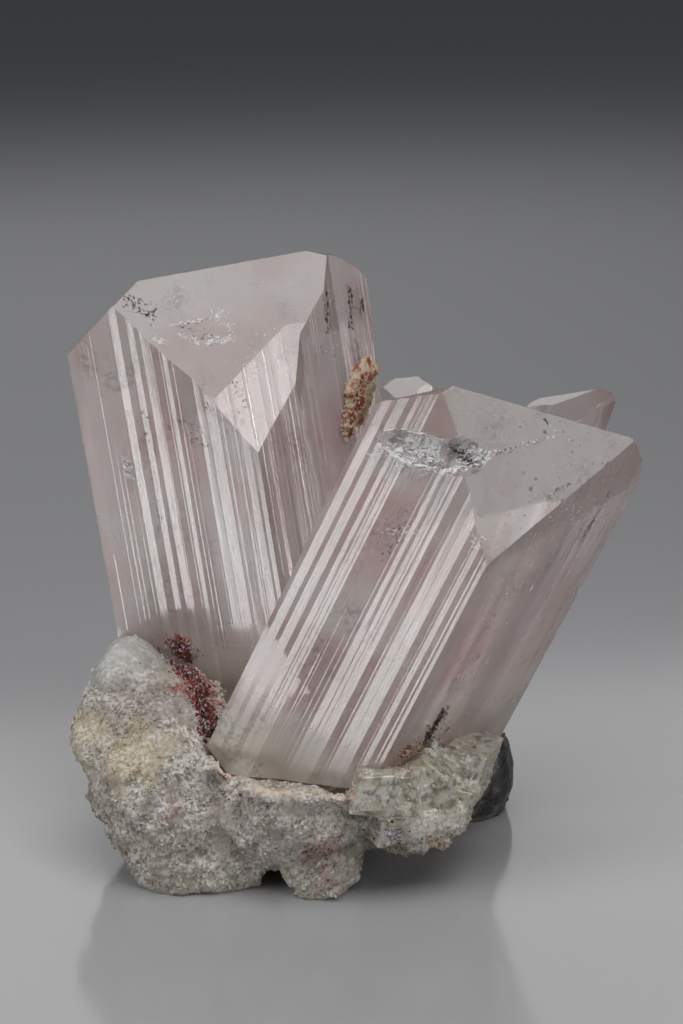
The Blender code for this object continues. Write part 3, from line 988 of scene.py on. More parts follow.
    def note_growth(self, thing: Any, in_front: bool) -> None:
        """Keep the crystal's own coordinates and the kinds of its faces with its mesh.

        A steep prism face mirrors as a band, and a narrow one less than a wide one; the
        material paints that band's sheen white as well. The crystal in front has an etched
        flank, a clouded end and the chip's small faces.

        Args:
            thing: The finished crystal, in millimetres.
            in_front: Whether it is the crystal in front.
        """
        wide_band, least_shine = 0.45, 0.35
        chip_face, end_rise, end_side = 0.06, 0.3, -0.3
        back = self.place().inverted()
        turn = back.to_3x3()
        kinds: dict[str, list[float]] = {
            "sheen_band": [], "etched": [], "chipped": [], "clouded": []}
        for face in thing.data.polygons:
            normal = turn @ face.normal
            side = math.degrees(math.atan2(abs(normal.x), abs(normal.y)))
            prism = abs(normal.z) < UPRIGHT
            wide = min(face.area / longest_edge(thing.data, face) / wide_band, 1.0)
            shine = least_shine + (1.0 - least_shine) * wide
            chipped = (face.area < chip_face
                       and (face.center - CHIP_MIDDLE).length < CHIP_REACH)
            kinds["sheen_band"].append(shine if prism and side > STEEP_TURN else 0.0)
            kinds["etched"].append(float(in_front and prism and normal.x > 0 > normal.y))
            kinds["chipped"].append(float(in_front and chipped))
            kinds["clouded"].append(
                float(in_front and normal.z > end_rise and normal.x > end_side))
        own = np.array([tuple(back @ vert.co) for vert in thing.data.vertices])
        store(thing.data, "crystal_mm", "POINT", own)
        for name, values in kinds.items():
            store(thing.data, name, "FACE", np.array(values))


RIGHT = CrystalForm(
    name="right_crystal", half_width=19.3, front_edge=(-2.2, -12.3), back_edge=(1.5, 8.6),
    front_left=(0.03, 0.05, 0.03, 0.05, 0.04, 0.10, 0.215, 0.13, 0.08, 0.10, 0.065,
                0.03, 0.035, 0.01, 0.015, 0.02),
    front_right=(0.90, 0.10), back_right=(0.42, 0.20, 0.38), back_left=(0.50, 0.18, 0.32),
    ridge=(-3.6, 60.0), front_slope=64.3, back_slope=61.0,
    end_cuts=((0.93, -0.08, (-19.3, 0.0, 53.5)), (-0.83, 0.0, (19.3, 0.0, 54.9)),
              (-2.6, 0.0, (18.7, 0.0, 54.4))),
    foot=-8.0,
    foot_cuts=((0.383, -0.282, (-3.7, -11.2, 6.3)), (-0.81, -0.28, (-19.4, 0.0, 1.1))),
    stands_at=(-2.9, -7.0, 11.7), pitch=-8.4, lean=24.1, spin=16.5, seed=11)

LEFT = CrystalForm(
    name="left_crystal", half_width=20.35, front_edge=(0.7, -14.0), back_edge=(-2.0, 10.0),
    front_left=(0.28, 0.045, 0.05, 0.035, 0.03, 0.05, 0.06, 0.025, 0.125, 0.26, 0.015, 0.025),
    front_right=(0.34, 0.10, 0.22, 0.08, 0.26), back_right=(0.36, 0.16, 0.48),
    back_left=(0.30, 0.14, 0.34, 0.22),
    ridge=(-2.5, 60.0), front_slope=63.3, back_slope=60.5,
    end_cuts=((0.745, -0.27, (-20.35, 0.0, 51.5)), (-0.40, 0.0, (12.5, -2.5, 60.0)),
              (-0.75, 0.0, (16.4, -2.5, 58.4)), (-1.60, 0.0, (19.0, -1.5, 56.4))),
    foot=-9.0,
    foot_cuts=((-0.143, 0.072, (0.0, 0.0, -3.2)), (14.0, 0.0, (19.3, 0.0, 38.0))),
    stands_at=(-10.3, 9.0, 17.6), pitch=2.6, lean=-8.7, spin=10.1, seed=23)

REAR = CrystalForm(
    name="rear_crystal", half_width=5.9, front_edge=(-0.6, -3.7), back_edge=(0.5, 4.2),
    front_left=(0.45, 0.15, 0.40), front_right=(0.60, 0.40), back_right=(0.40, 0.20, 0.40),
    back_left=(0.55, 0.45),
    ridge=(-0.4, 50.0), front_slope=62.0, back_slope=60.5,
    end_cuts=((0.58, 0.0, (3.0, -0.4, 50.0)), (1.40, 0.0, (-4.9, 0.0, 45.4)),
              (-0.95, 0.0, (4.5, -0.4, 50.0))),
    foot=-3.0, foot_cuts=(),
    stands_at=(13.3, 6.3, 14.8), pitch=0.0, lean=18.0, spin=10.0, seed=31)

SMALL_REAR = CrystalForm(
    name="small_rear_crystal", half_width=4.3, front_edge=(0.3, -2.9), back_edge=(-0.3, 3.3),
    front_left=(0.55, 0.45), front_right=(0.50, 0.50), back_right=(0.60, 0.40),
    back_left=(0.45, 0.55),
    ridge=(0.0, 47.0), front_slope=60.5, back_slope=60.5,
    end_cuts=((0.55, 0.0, (-4.3, 0.0, 45.6)), (-0.80, 0.0, (4.3, 0.0, 44.9))),
    foot=0.0, foot_cuts=(),
    stands_at=(7.6, 6.4, 16.0), pitch=0.0, lean=-1.5, spin=14.0, seed=41)


@dataclass
class ConchoidalChip:
    """The shell-shaped chip under the right crystal's top edge: two rippled hollows.

    A hollow has its middle, its radii, and how far it is turned and tipped, in degrees. The
    waves of its floor have their heights in millimetres and their counts to a millimetre.
    """

    hollows: tuple[tuple[Triple, Triple, float, float], ...] = (
        ((7.7, -22.9, 61.2), (6.3, 1.6, 2.2), -17.6, 11.0),
        ((11.6, -24.0, 60.7), (4.9, 2.4, 2.5), 4.0, 4.0),
    )
    ripple: float = 0.035
    ripple_spacing: float = 0.9
    swell: float = 0.30
    swell_count: float = 0.55
    splinter: float = 0.05
    splinter_count: float = 2.1
    drawn_in: float = 0.1

    def cutters(self) -> list[Any]:
        """Model the hollows' shapes, in millimetres.

        Returns:
            One cutter for each hollow.
        """
        made = []
        for number, (centre, radii, turn_z, turn_y) in enumerate(self.hollows):
            deselect_all()
            bpy.ops.mesh.primitive_ico_sphere_add(subdivisions=5, radius=1.0)
            cutter = bpy.context.object
            cutter.name = f"chip_cutter_{number + 1}"
            cutter.data.transform(stand(centre, turn_z, turn_y) @ Matrix.Diagonal((*radii, 1.0)))
            # The ripples spread from where the blow fell, over the hollow's upper left
            blow = Vector(centre) + SHIFT + Vector((-radii[0] * 0.8, 0.0, radii[2]))
            for vert in cutter.data.vertices:
                wave = math.sin((vert.co - blow).length / self.ripple_spacing * math.tau)
                swell = noise.noise(vert.co * self.swell_count)
                splinter = noise.noise(vert.co * self.splinter_count)
                vert.co += vert.normal * (self.ripple * wave + self.swell * swell
                                          + self.splinter * splinter - self.drawn_in)
            made.append(cutter)
        return made


@dataclass
class EtchPits:
    """Shallow dissolved pits on the right crystal's front right flank or its wedge end.

    They lie between two corners, are as long as sizes says, narrower across the crystal's
    axis by narrow, and are turned aside by up to turned, in radians.
    """

    count: int = 420
    low: Triple = (18.0, -24.0, 24.0)
    high: Triple = (36.0, -6.0, 60.0)
    sizes: Pair = (0.3, 1.25)
    size_shares: Pair = (0.5, 1.0)
    depth: float = 0.28
    narrow: float = 0.45
    turned: float = 0.5
    on_end: bool = False
    end_rise: float = 0.2
    flank_side: float = 0.3
    seed: int = 5

    def wanted(self, normal: Vector) -> bool:
        """Tell whether a face gets pits.

        Args:
            normal: The face's normal, in the crystal's own axes.

        Returns:
            Whether it is the wedge end, or the front right flank.
        """
        if self.on_end:
            return normal.z > self.end_rise
        return normal.x > self.flank_side > normal.y and abs(normal.z) <= UPRIGHT

    def cutter(self, crystal: Any, form: CrystalForm) -> Any:
        """Model all the pits' shapes as one cutter, in millimetres.

        Args:
            crystal: The crystal that gets them.
            form: Its form, for the direction of its axis.

        Returns:
            The cutter, whose pits lie only on the faces that are wanted.
        """
        draw = random.Random(self.seed)
        surface = search_tree([crystal])
        axis = (form.place().to_3x3() @ Vector((0.0, 0.0, 1.0))).normalized()
        to_own = form.place().inverted().to_3x3()
        builder = bmesh.new()
        taken: list[tuple[Vector, float]] = []
        for _ in range(self.count):
            guess = Vector([draw.uniform(a, b) for a, b in zip(self.low, self.high)])
            near, normal, _, _ = surface.find_nearest(guess)
            size = draw.uniform(*self.sizes) * draw.uniform(*self.size_shares)
            if not self.wanted(to_own @ normal):
                continue
            # Pits that ran into each other would spoil the cut
            if any((near - other).length < size + reach for other, reach in taken):
                continue
            taken.append((near, size))
            side = axis.cross(normal).normalized()
            facing = Matrix((side, axis, normal)).transposed().to_4x4()
            shape = Matrix.Diagonal((size * self.narrow, size, self.depth * size, 1.0))
            turn = Matrix.Rotation(draw.uniform(-self.turned, self.turned), 4, "Z")
            place = Matrix.Translation(near) @ facing @ turn @ shape
            bmesh.ops.create_icosphere(builder, subdivisions=1, radius=1.0, matrix=place)
        mesh = bpy.data.meshes.new("etch_pits")
        builder.to_mesh(mesh)
        builder.free()
        return mesh_object("etch_pits", mesh)


@dataclass
class CrystalGroup:
    """The four crystals, cut where they lean on each other."""

    finish: DanburiteFinish
    chip: ConchoidalChip
    flank_pits: EtchPits
    end_pits: EtchPits

    def build(self) -> dict[str, Any]:
        """Model and cut the crystals.

        Returns:
            The crystals by their CAD node's name, still in millimetres.
        """
        forms = (RIGHT, LEFT, REAR, SMALL_REAR)
        right, left, rear, small = (form.solid() for form in forms)
        right_socket, left_socket, rear_socket = (
            form.solid(SEAM) for form in (RIGHT, LEFT, REAR))
        for behind, sockets in (
                (left, (right_socket,)), (rear, (right_socket, left_socket)),
                (small, (right_socket, left_socket, rear_socket))):
            for socket in sockets:
                cut_out(behind, socket)
        cutters = [*self.chip.cutters(), self.flank_pits.cutter(right, RIGHT),
                   self.end_pits.cutter(right, RIGHT)]
        for cutter in cutters:
            cut_out(right, cutter)
        drop(right_socket, left_socket, rear_socket, *cutters)
        made = dict(zip((form.name for form in forms), (right, left, rear, small)))
        for form in forms:
            thing = made[form.name]
            set_coordinates(thing.data, inside_box(coordinates(thing.data), 0.0))
            form.note_growth(thing, form is RIGHT)
        return made

    def dress(self, made: dict[str, Any]) -> None:
        """Finish the crystals and let them stand for their CAD nodes.

        Args:
            made: The crystals by their CAD node's name.
        """
        material = self.finish.material()
        for node, thing in made.items():
            finish_piece(thing, material, node)


# Small bits: glints and dust in the crystals' skin, and crumbs

# A bit is a lozenge of eight faces, a millimetre from its middle to each tip
BIT_CORNERS = tuple(Vector(corner) for corner in (
    (1, 0, 0), (0.2, 0.9, 0), (-1, 0.1, 0), (-0.1, -0.8, 0), (0.1, 0, 1), (0, 0.1, -1)))
BIT_SIDES = ((0, 1, 4), (1, 2, 4), (2, 3, 4), (3, 0, 4),
             (1, 0, 5), (2, 1, 5), (3, 2, 5), (0, 3, 5))

# The shares of its full size and width that a bit has, and how far chance turns a flat
# one out of the surface and off its line
BIT_SHARES = (0.4, 1.0)
BIT_TIP = 0.5
BIT_STRAY = 0.8


@dataclass
class Cluster:
    """A cloud of small bits along a line, at a surface.

    Depth counts into what they lie on: a negative one stands the bits out. A crack's or a
    dust streak's bits are thin plates that lie with the surface and run along the line;
    crumbs are turned at random.
    """

    tone: Tone
    start: Triple
    end: Triple
    spread: float
    sizes: Pair
    count: int
    depth: Pair = (-0.02, 0.03)
    flat: float = 0.16
    long: float = 1.8
    loose: bool = False

    def bit(self, draw: random.Random, surface: BVHTree) -> list[Vector]:
        """Place one bit.

        Args:
            draw: The random draws.
            surface: The surface that the bit lies on.

        Returns:
            The places of its corners.
        """
        start, end = Vector(self.start), Vector(self.end)
        guess = start.lerp(end, draw.random())
        guess += Vector([draw.gauss(0.0, self.spread) for _ in range(3)])
        near, normal, _, _ = surface.find_nearest(guess)
        place = near - normal * draw.uniform(*self.depth)
        size = draw.uniform(*self.sizes) * draw.uniform(*BIT_SHARES)
        chance = Vector([draw.uniform(-1, 1) for _ in range(3)])
        up = (chance if self.loose else normal + chance * BIT_TIP).normalized()
        run = (end - start).normalized() + chance * (1.0 if self.loose else BIT_STRAY)
        side = up.cross(run).normalized()
        turn = Matrix((side.cross(up), side, up)).transposed()
        width = size * draw.uniform(*BIT_SHARES)
        shape = Vector((size * self.long, width, size * self.flat))
        return [place + turn @ (corner * shape) for corner in BIT_CORNERS]


def crumbs(tone: Tone, start: Triple, end: Triple, spread: float, sizes: Pair, count: int,
           depth: Pair, flat: float) -> Cluster:
    """A cluster of crumbs, which are as long as they are wide and lie at random."""
    return Cluster(tone, start, end, spread, sizes, count, depth, flat, long=1.0, loose=True)


@dataclass
class BitGroup:
    """The bits of one kind of place, one piece for each tone."""

    prefix: str
    slot: str
    seed: int
    clusters: Sequence[Cluster]

    def build(self, surface: BVHTree) -> None:
        """Scatter the bits and dress them.

        Args:
            surface: The surface that they lie on, in millimetres.
        """
        for number, tone in enumerate(Tone):
            own = [cluster for cluster in self.clusters if cluster.tone is tone]
            if own:
                draw = random.Random(self.seed + number)
                thing = self.joined(f"{self.prefix}_{tone.value}", own, draw, surface)
                finish_piece(thing, SPECK_FINISHES[tone].material())

    def joined(self, name: str, clusters: Sequence[Cluster], draw: random.Random,
               surface: BVHTree) -> Any:
        """Join all the bits of some clusters in one mesh.

        Args:
            name: The piece's name.
            clusters: The clusters.
            draw: The random draws.
            surface: The surface that they lie on, in millimetres.

        Returns:
            The piece, in millimetres.
        """
        points: list[Vector] = []
        faces: list[tuple[int, ...]] = []
        for cluster in clusters:
            for _ in range(cluster.count):
                base = len(points)
                points += cluster.bit(draw, surface)
                faces += [tuple(base + i for i in side) for side in BIT_SIDES]
        mesh = bpy.data.meshes.new(name)
        held = inside_box(np.array([tuple(p) for p in points]))
        mesh.from_pydata(held.tolist(), [], faces)
        return mesh_object(name, mesh)


# Flush with the crystals' skin: tiny mirror cracks, their glints painted as white specks,
# milky veils and dark mineral dust
INCLUSIONS = BitGroup("inclusions", "danburite", 100, (
    # Left crystal: the bowed lens crack, the slivers above it, and glints about them
    Cluster(Tone.SPARKLE, (-22.2, 5.4, 69.2), (-19.4, 5.0, 67.9), 0.16, (0.04, 0.22), 55),
    Cluster(Tone.SPARKLE, (-19.6, 5.0, 67.9), (-15.0, 5.3, 68.6), 0.24, (0.04, 0.28), 95),
    Cluster(Tone.SPARKLE, (-23.4, 5.8, 70.0), (-18.2, 6.0, 71.2), 0.12, (0.03, 0.20), 60),
    Cluster(Tone.SPARKLE, (-17.4, 6.4, 72.0), (-15.2, 5.6, 69.6), 0.50, (0.03, 0.26), 60),
    Cluster(Tone.SPARKLE, (-13.5, 3.9, 65.2), (-12.2, 3.6, 64.2), 0.60, (0.03, 0.20), 45),
    Cluster(Tone.SPARKLE, (-29.5, 6.0, 52.4), (-28.7, 5.8, 49.6), 0.30, (0.04, 0.28), 45),
    Cluster(Tone.SPARKLE, (-3.2, 9.7, 66.4), (-1.8, 9.8, 65.6), 0.55, (0.03, 0.16), 30),
    Cluster(Tone.SPARKLE, (-25.2, 5.3, 68.2), (-23.6, 5.2, 67.8), 0.22, (0.05, 0.26), 34),
    Cluster(Tone.SPARKLE, (-16.0, 5.6, 71.0), (-9.0, 4.0, 62.0), 2.40, (0.03, 0.12), 70),
    # Right crystal: the chip's frosted hollow and its rim
    Cluster(Tone.SPARKLE, (4.8, -21.6, 61.2), (10.6, -22.0, 61.0), 0.75, (0.05, 0.34), 700),
    Cluster(Tone.SPARKLE, (13.6, -21.8, 60.4), (16.8, -21.4, 60.7), 0.50, (0.03, 0.22), 170),
    Cluster(Tone.SPARKLE, (4.6, -21.0, 60.0), (11.0, -22.4, 58.6), 0.30, (0.04, 0.30), 100),
    Cluster(Tone.SPARKLE, (11.0, -22.4, 58.6), (17.0, -21.8, 60.4), 0.28, (0.05, 0.32), 120),
    # The crack that runs on from the chip, the seam, and glints under the etched flank
    Cluster(Tone.SPARKLE, (17.0, -21.2, 60.8), (25.5, -17.6, 61.8), 0.16, (0.03, 0.20), 60),
    Cluster(Tone.SPARKLE, (21.8, -17.0, 64.8), (27.7, -16.6, 60.4), 0.10, (0.03, 0.16), 34),
    Cluster(Tone.SPARKLE, (24.5, -18.4, 53.0), (30.0, -13.0, 49.0), 1.9, (0.04, 0.20), 110),
    Cluster(Tone.SPARKLE, (22.0, -19.0, 46.0), (18.0, -19.0, 38.0), 1.6, (0.04, 0.15), 50),
    Cluster(Tone.SPARKLE, (4.2, -20.4, 50.8), (8.0, -20.7, 50.2), 0.50, (0.03, 0.20), 60),
    Cluster(Tone.SPARKLE, (14.8, -23.4, 50.6), (15.8, -23.4, 49.4), 0.35, (0.05, 0.26), 40),
    # Dark dust, left crystal
    Cluster(Tone.FLECK, (-28.8, 6.8, 73.4), (-25.0, 6.4, 71.2), 0.6, (0.05, 0.30), 90),
    Cluster(Tone.FLECK, (-21.6, 5.4, 69.4), (-16.4, 5.4, 68.6), 0.50, (0.03, 0.16), 80),
    Cluster(Tone.FLECK, (-22.6, 5.8, 69.9), (-18.2, 6.0, 71.0), 0.14, (0.03, 0.16), 40),
    Cluster(Tone.FLECK, (-19.5, 1.6, 60.8), (-16.5, 1.2, 59.6), 0.4, (0.04, 0.18), 60),
    Cluster(Tone.FLECK, (-14.6, 2.6, 63.4), (-13.2, 1.2, 59.6), 0.4, (0.04, 0.18), 70),
    Cluster(Tone.FLECK, (-22.4, 2.6, 58.0), (-18.0, 1.6, 55.4), 0.8, (0.04, 0.20), 150),
    Cluster(Tone.FLECK, (-27.0, 4.9, 60.0), (-24.5, 4.4, 44.0), 0.3, (0.03, 0.18), 110),
    Cluster(Tone.FLECK, (-3.6, 10.4, 73.6), (-3.0, 9.6, 68.6), 0.2, (0.05, 0.30), 70),
    Cluster(Tone.FLECK, (0.2, 13.6, 74.0), (1.2, 12.0, 68.0), 0.2, (0.05, 0.30), 80),
    Cluster(Tone.FLECK, (1.9, 14.6, 71.5), (2.2, 14.0, 70.0), 0.2, (0.05, 0.25), 30),
    # Dark dust, right crystal
    Cluster(Tone.FLECK, (12.6, -21.6, 61.2), (14.8, -21.4, 59.6), 0.35, (0.05, 0.24), 120),
    Cluster(Tone.FLECK, (17.6, -21.0, 60.6), (25.0, -17.8, 61.6), 0.22, (0.03, 0.16), 60),
    Cluster(Tone.FLECK, (22.2, -17.0, 64.5), (27.4, -16.6, 60.6), 0.08, (0.03, 0.12), 46),
    Cluster(Tone.FLECK, (7.0, -21.0, 54.0), (4.0, -20.2, 46.0), 0.45, (0.03, 0.16), 80),
    Cluster(Tone.FLECK, (22.6, -17.2, 64.6), (24.0, -17.2, 63.6), 0.15, (0.06, 0.25), 45),
    Cluster(Tone.FLECK, (24.0, -19.2, 54.4), (26.6, -17.0, 55.6), 0.15, (0.06, 0.25), 45),
    Cluster(Tone.FLECK, (31.5, -10.8, 53.0), (29.8, -11.6, 46.0), 0.25, (0.05, 0.25), 90),
))

# Where the red and brown crumbs run along the left crystal's foot
FOOT_LINE = (
    ((-23.0, 3.8, 27.6), (-22.0, 2.6, 25.2)), ((-22.0, 0.4, 26.0), (-20.4, -4.4, 25.2)),
    ((-20.8, -3.0, 25.3), (-19.2, -6.4, 24.2)), ((-19.4, -6.1, 24.4), (-18.4, -9.0, 22.0)),
    ((-18.9, -8.4, 22.5), (-17.9, -10.8, 19.6)))
FOOT_CRUMBS = ((Tone.RUST, 0.75, (0.16, 0.46), 190), (Tone.BROWN, 0.6, (0.14, 0.42), 120),
               (Tone.LILAC, 0.8, (0.18, 0.50), 80))

# On the surfaces: oxide crumbs at both large crystals' feet, and grains on the matrix
CRUMBS = BitGroup("crumbs", "iron_crust", 200, (
    *(crumbs(tone, start, end, spread, sizes, count, (-0.3, 0.0), 0.7)
      for start, end in FOOT_LINE for tone, spread, sizes, count in FOOT_CRUMBS),
    crumbs(Tone.BROWN, (11.0, -14.6, 25.6), (9.4, -15.4, 20.6), 0.45, (0.10, 0.36), 240,
           (-0.15, 0.05), 0.6),
    crumbs(Tone.BROWN, (13.4, -13.6, 22.0), (7.0, -17.2, 18.6), 1.2, (0.06, 0.25), 150,
           (-0.1, 0.05), 0.6),
    crumbs(Tone.TAN, (8.4, -16.4, 20.6), (6.2, -17.6, 18.4), 0.9, (0.12, 0.4), 130,
           (-0.15, 0.05), 0.6),
    crumbs(Tone.RUST, (7.6, -16.8, 21.6), (6.0, -17.6, 19.6), 0.5, (0.08, 0.25), 70,
           (-0.1, 0.05), 0.6),
    crumbs(Tone.RUST, (-4.4, -19.6, 8.6), (-2.6, -19.2, 5.0), 0.8, (0.12, 0.4), 34,
           (-0.2, 0.1), 0.7),
    crumbs(Tone.BROWN, (2.0, -19.5, 12.6), (9.0, -17.0, 8.0), 1.8, (0.10, 0.4), 160,
           (-0.1, 0.1), 0.7),
    crumbs(Tone.LILAC, (3.8, -19.8, 10.9), (6.4, -20.4, 10.1), 0.50, (0.12, 0.36), 260,
           (-0.5, 0.1), 0.8),
    crumbs(Tone.TAN, (9.8, -18.6, 8.9), (12.0, -16.9, 7.4), 0.35, (0.20, 0.46), 60,
           (-0.3, 0.1), 0.9),
    crumbs(Tone.RUST, (-16.4, -18.6, 17.6), (-14.6, -18.8, 14.6), 0.6, (0.12, 0.35), 60,
           (-0.15, 0.1), 0.7),
))

CRUST_CRUMBS = BitGroup("crust_crumbs", "iron_crust", 300, (
    crumbs(Tone.TAN, (0.8, 9.4, 62.0), (-1.6, 7.6, 53.0), 0.9, (0.15, 0.5), 260,
           (-0.15, 0.1), 0.8),
    crumbs(Tone.RUST, (2.6, 9.8, 63.0), (-0.4, 7.4, 54.0), 0.35, (0.12, 0.4), 80,
           (-0.15, 0.1), 0.8),
    crumbs(Tone.RUST, (-1.4, 9.2, 60.0), (-1.8, 7.8, 55.0), 0.3, (0.12, 0.35), 50,
           (-0.15, 0.1), 0.8),
    crumbs(Tone.BROWN, (1.4, 9.4, 61.0), (-0.8, 7.6, 54.0), 0.7, (0.08, 0.25), 80,
           (-0.1, 0.1), 0.8),
))


# Matrix


@dataclass
class Blob:
    """A round patch of one kind of ground."""

    zone: Zone
    centre: Triple
    reach: float
    strength: float = 1.0


@dataclass
class MatrixRock:
    """The rock: its lumpy skin, the zones of its ground, and its sugar-like grains.

    Fields that end in mm are the widths of what the noise draws. Calm ground, such as
    quartz, has low swells, and the rest has clumps, grains and folds.
    """

    facet: float = 0.5
    seed: int = 7
    rim_line: tuple[Triple, ...] = (
        (-16.9, -15.75, 19.0), (-15.5, -18.85, 17.4), (-10.9, -20.65, 16.4),
        (-4.9, -21.45, 15.9), (0.6, -21.65, 15.8))
    rim_reach: float = 0.95
    rim_edge: float = 1.7
    blobs: tuple[Blob, ...] = (
        # Painted shade: the rock is darker at its low left end and low at its front
        Blob(Zone.SHADE, (-36.0, -6.0, 5.0), 9.0, 0.7),
        Blob(Zone.SHADE, (5.0, -14.0, 6.0), 7.0, 0.8),
        Blob(Zone.QUARTZ, (-30.5, 0.5, 28.0), 8.5),
        Blob(Zone.MOTTLED, (-26.5, -8.5, 23.0), 6.5, 0.9),
        Blob(Zone.MOTTLED, (-9.0, -19.5, 12.0), 6.0, 0.6),
        Blob(Zone.YELLOW, (-28.0, -15.0, 19.2), 6.0, 0.6),
        Blob(Zone.YELLOW, (-35.0, -6.5, 18.0), 5.0, 0.5),
        Blob(Zone.CALCITE, (9.0, -17.5, 16.0), 8.0, 0.9),
        Blob(Zone.STAIN, (-3.4, -19.6, 8.0), 2.8, 0.42),
        Blob(Zone.STAIN, (-3.0, -18.8, 4.4), 2.6, 0.28),
        Blob(Zone.STAIN, (-15.7, -19.0, 15.6), 2.6, 0.32),
        Blob(Zone.STAIN, (0.6, -21.2, 15.2), 2.0, 0.4),
        Blob(Zone.STAIN, (-24.0, -16.0, 13.0), 2.6, 0.35),
        Blob(Zone.STAIN, (-20.0, -4.6, 24.6), 4.2, 0.8),
        # The knob at the back right: dark greenish grey, and painted darker as shade
        Blob(Zone.KNOB, (18.5, 13.6, 6.0), 11.5),
    )
    blob_edge: float = 2.6
    wander_mm: float = 2.6
    wander: float = 2.6
    socket_reach: float = 0.9
    clump_mm: float = 3.0
    clump: float = 1.15
    lump_mm: float = 1.25
    lump: float = 0.62
    fold_mm: float = 1.6
    fold: float = 0.32
    swell_mm: float = 2.5
    swell: float = 0.18
    drawn_in: float = 0.12
    foot_height: float = 0.35
    foot_sole: float = 0.2
    off_floor: float = 0.12
    grain_count: int = 15500
    grain_sizes: Pair = (0.22, 0.52)
    grain_shares: Pair = (0.6, 1.0)
    grain_stretch: Pair = (0.6, 1.3)
    grain_slant: float = 0.25
    grain_patch_mm: float = 3.0
    grain_mean: float = 0.6
    grain_swing: float = 1.6
    grain_range: Pair = (0.1, 1.6)
    grain_on_calm: float = 0.03
    grain_bare_foot: float = 0.6
    grain_off_floor: float = 0.05

    def zone_shares(self, points: np.ndarray, socket: np.ndarray) -> dict[Zone, np.ndarray]:
        """How much of each kind of ground shows at points.

        Args:
            points: Rows of x, y and z, in millimetres.
            socket: Each point's nearness to a crystal, from 0 to 1.

        Returns:
            A share from 0 to 1 for each point, by zone.
        """
        shares = {zone: np.zeros(len(points)) for zone in Zone}
        wander = self.wander * np.array(
            [noise.fractal(Vector(p) / self.wander_mm, 1.0, 2.0, 3) for p in points])
        for blob in self.blobs:
            away = np.linalg.norm(points - np.array(blob.centre), axis=1) + wander
            share = np.clip(self.blob_edge * (1.0 - away / blob.reach), 0.0, 1.0)
            shares[blob.zone] = np.maximum(shares[blob.zone], share * blob.strength)
        line = np.array(self.rim_line)
        for start, end in zip(line, line[1:]):
            run = end - start
            along = np.clip((points - start) @ run / (run @ run), 0.0, 1.0)
            away = np.linalg.norm(points - start - along[:, None] * run, axis=1)
            near = np.clip(self.rim_edge * (1.0 - away / self.rim_reach), 0.0, 1.0)
            shares[Zone.RIM] = np.maximum(shares[Zone.RIM], near)
        shares[Zone.SOCKET] = socket * (1.0 - shares[Zone.RIM])
        return shares

    def socket_share(self, points: np.ndarray, crystals: BVHTree) -> np.ndarray:
        """How near points lie to a crystal.

        Args:
            points: Rows of x, y and z, in millimetres.
            crystals: The crystals' surfaces, in millimetres.

        Returns:
            A share for each point, from 0 a socket's reach away to 1 at a crystal.
        """
        # The search ends a little past the reach, where the share is nothing anyway
        away = [crystals.find_nearest(Vector(p), 2.0)[3] for p in points]
        return np.array([0.0 if d is None else max(1.0 - d / self.socket_reach, 0.0)
                         for d in away])

    def relief(self, points: np.ndarray, shares: dict[Zone, np.ndarray]) -> np.ndarray:
        """How far the skin rises at points: clumps of sugar, calmer on the smooth ground.

        Args:
            points: Rows of x, y and z, in millimetres.
            shares: The zones' shares at the points.

        Returns:
            The rise of each point, in millimetres.
        """
        calm = np.maximum.reduce([
            shares[Zone.QUARTZ], shares[Zone.KNOB], shares[Zone.RIM] * 0.8,
            shares[Zone.SOCKET], shares[Zone.CALCITE] * 0.6, shares[Zone.YELLOW] * 0.5])
        rises = []
        for row in points:
            place = Vector(row)
            # Distances to the nearest cell, less their middle value
            clump = 0.55 - noise.voronoi(place / self.clump_mm)[0][0]
            lump = 0.5 - noise.voronoi(place / self.lump_mm)[0][0]
            fold = noise.fractal(place / self.fold_mm, 1.0, 2.0, 3)
            swell = noise.fractal(place / self.swell_mm, 1.0, 2.0, 2)
            rises.append((self.clump * clump + self.lump * lump + self.fold * fold,
                          self.swell * swell))
        rough, smooth = np.array(rises).T
        return rough * (1.0 - calm) + smooth * calm - self.drawn_in

    def skin(self, node: Any, crystals: BVHTree) -> Any:
        """Model the rock's skin over its CAD solid's form.

        Its feet stay flat, and nothing else comes down to the floor.

        Args:
            node: The CAD node.
            crystals: The crystals' surfaces, in millimetres.

        Returns:
            The skin's object, in millimetres.
        """
        thing = node_skin("matrix_skin", node, self.facet)
        mesh = thing.data
        apply_modifier(thing, "SMOOTH", factor=0.5, iterations=2)
        points = coordinates(mesh)
        normals = np.empty(len(mesh.vertices) * 3)
        mesh.vertices.foreach_get("normal", normals)
        shares = self.zone_shares(points, self.socket_share(points, crystals))
        rise = self.relief(points, shares)
        moved = points + normals.reshape(-1, 3) * rise[:, None]
        height = points[:, 2]
        resting = height < self.foot_height
        moved[resting] = points[resting]
        moved[:, 2] = np.maximum(moved[:, 2], np.where(resting, 0.0, self.off_floor))
        moved[resting, 2] = np.where(
            height[resting] < self.foot_sole, 0.0, height[resting])
        set_coordinates(mesh, inside_box(moved))
        for zone, values in shares.items():
            store(mesh, zone.value, "POINT", values)
        for face in mesh.polygons:
            face.use_smooth = True
        return thing

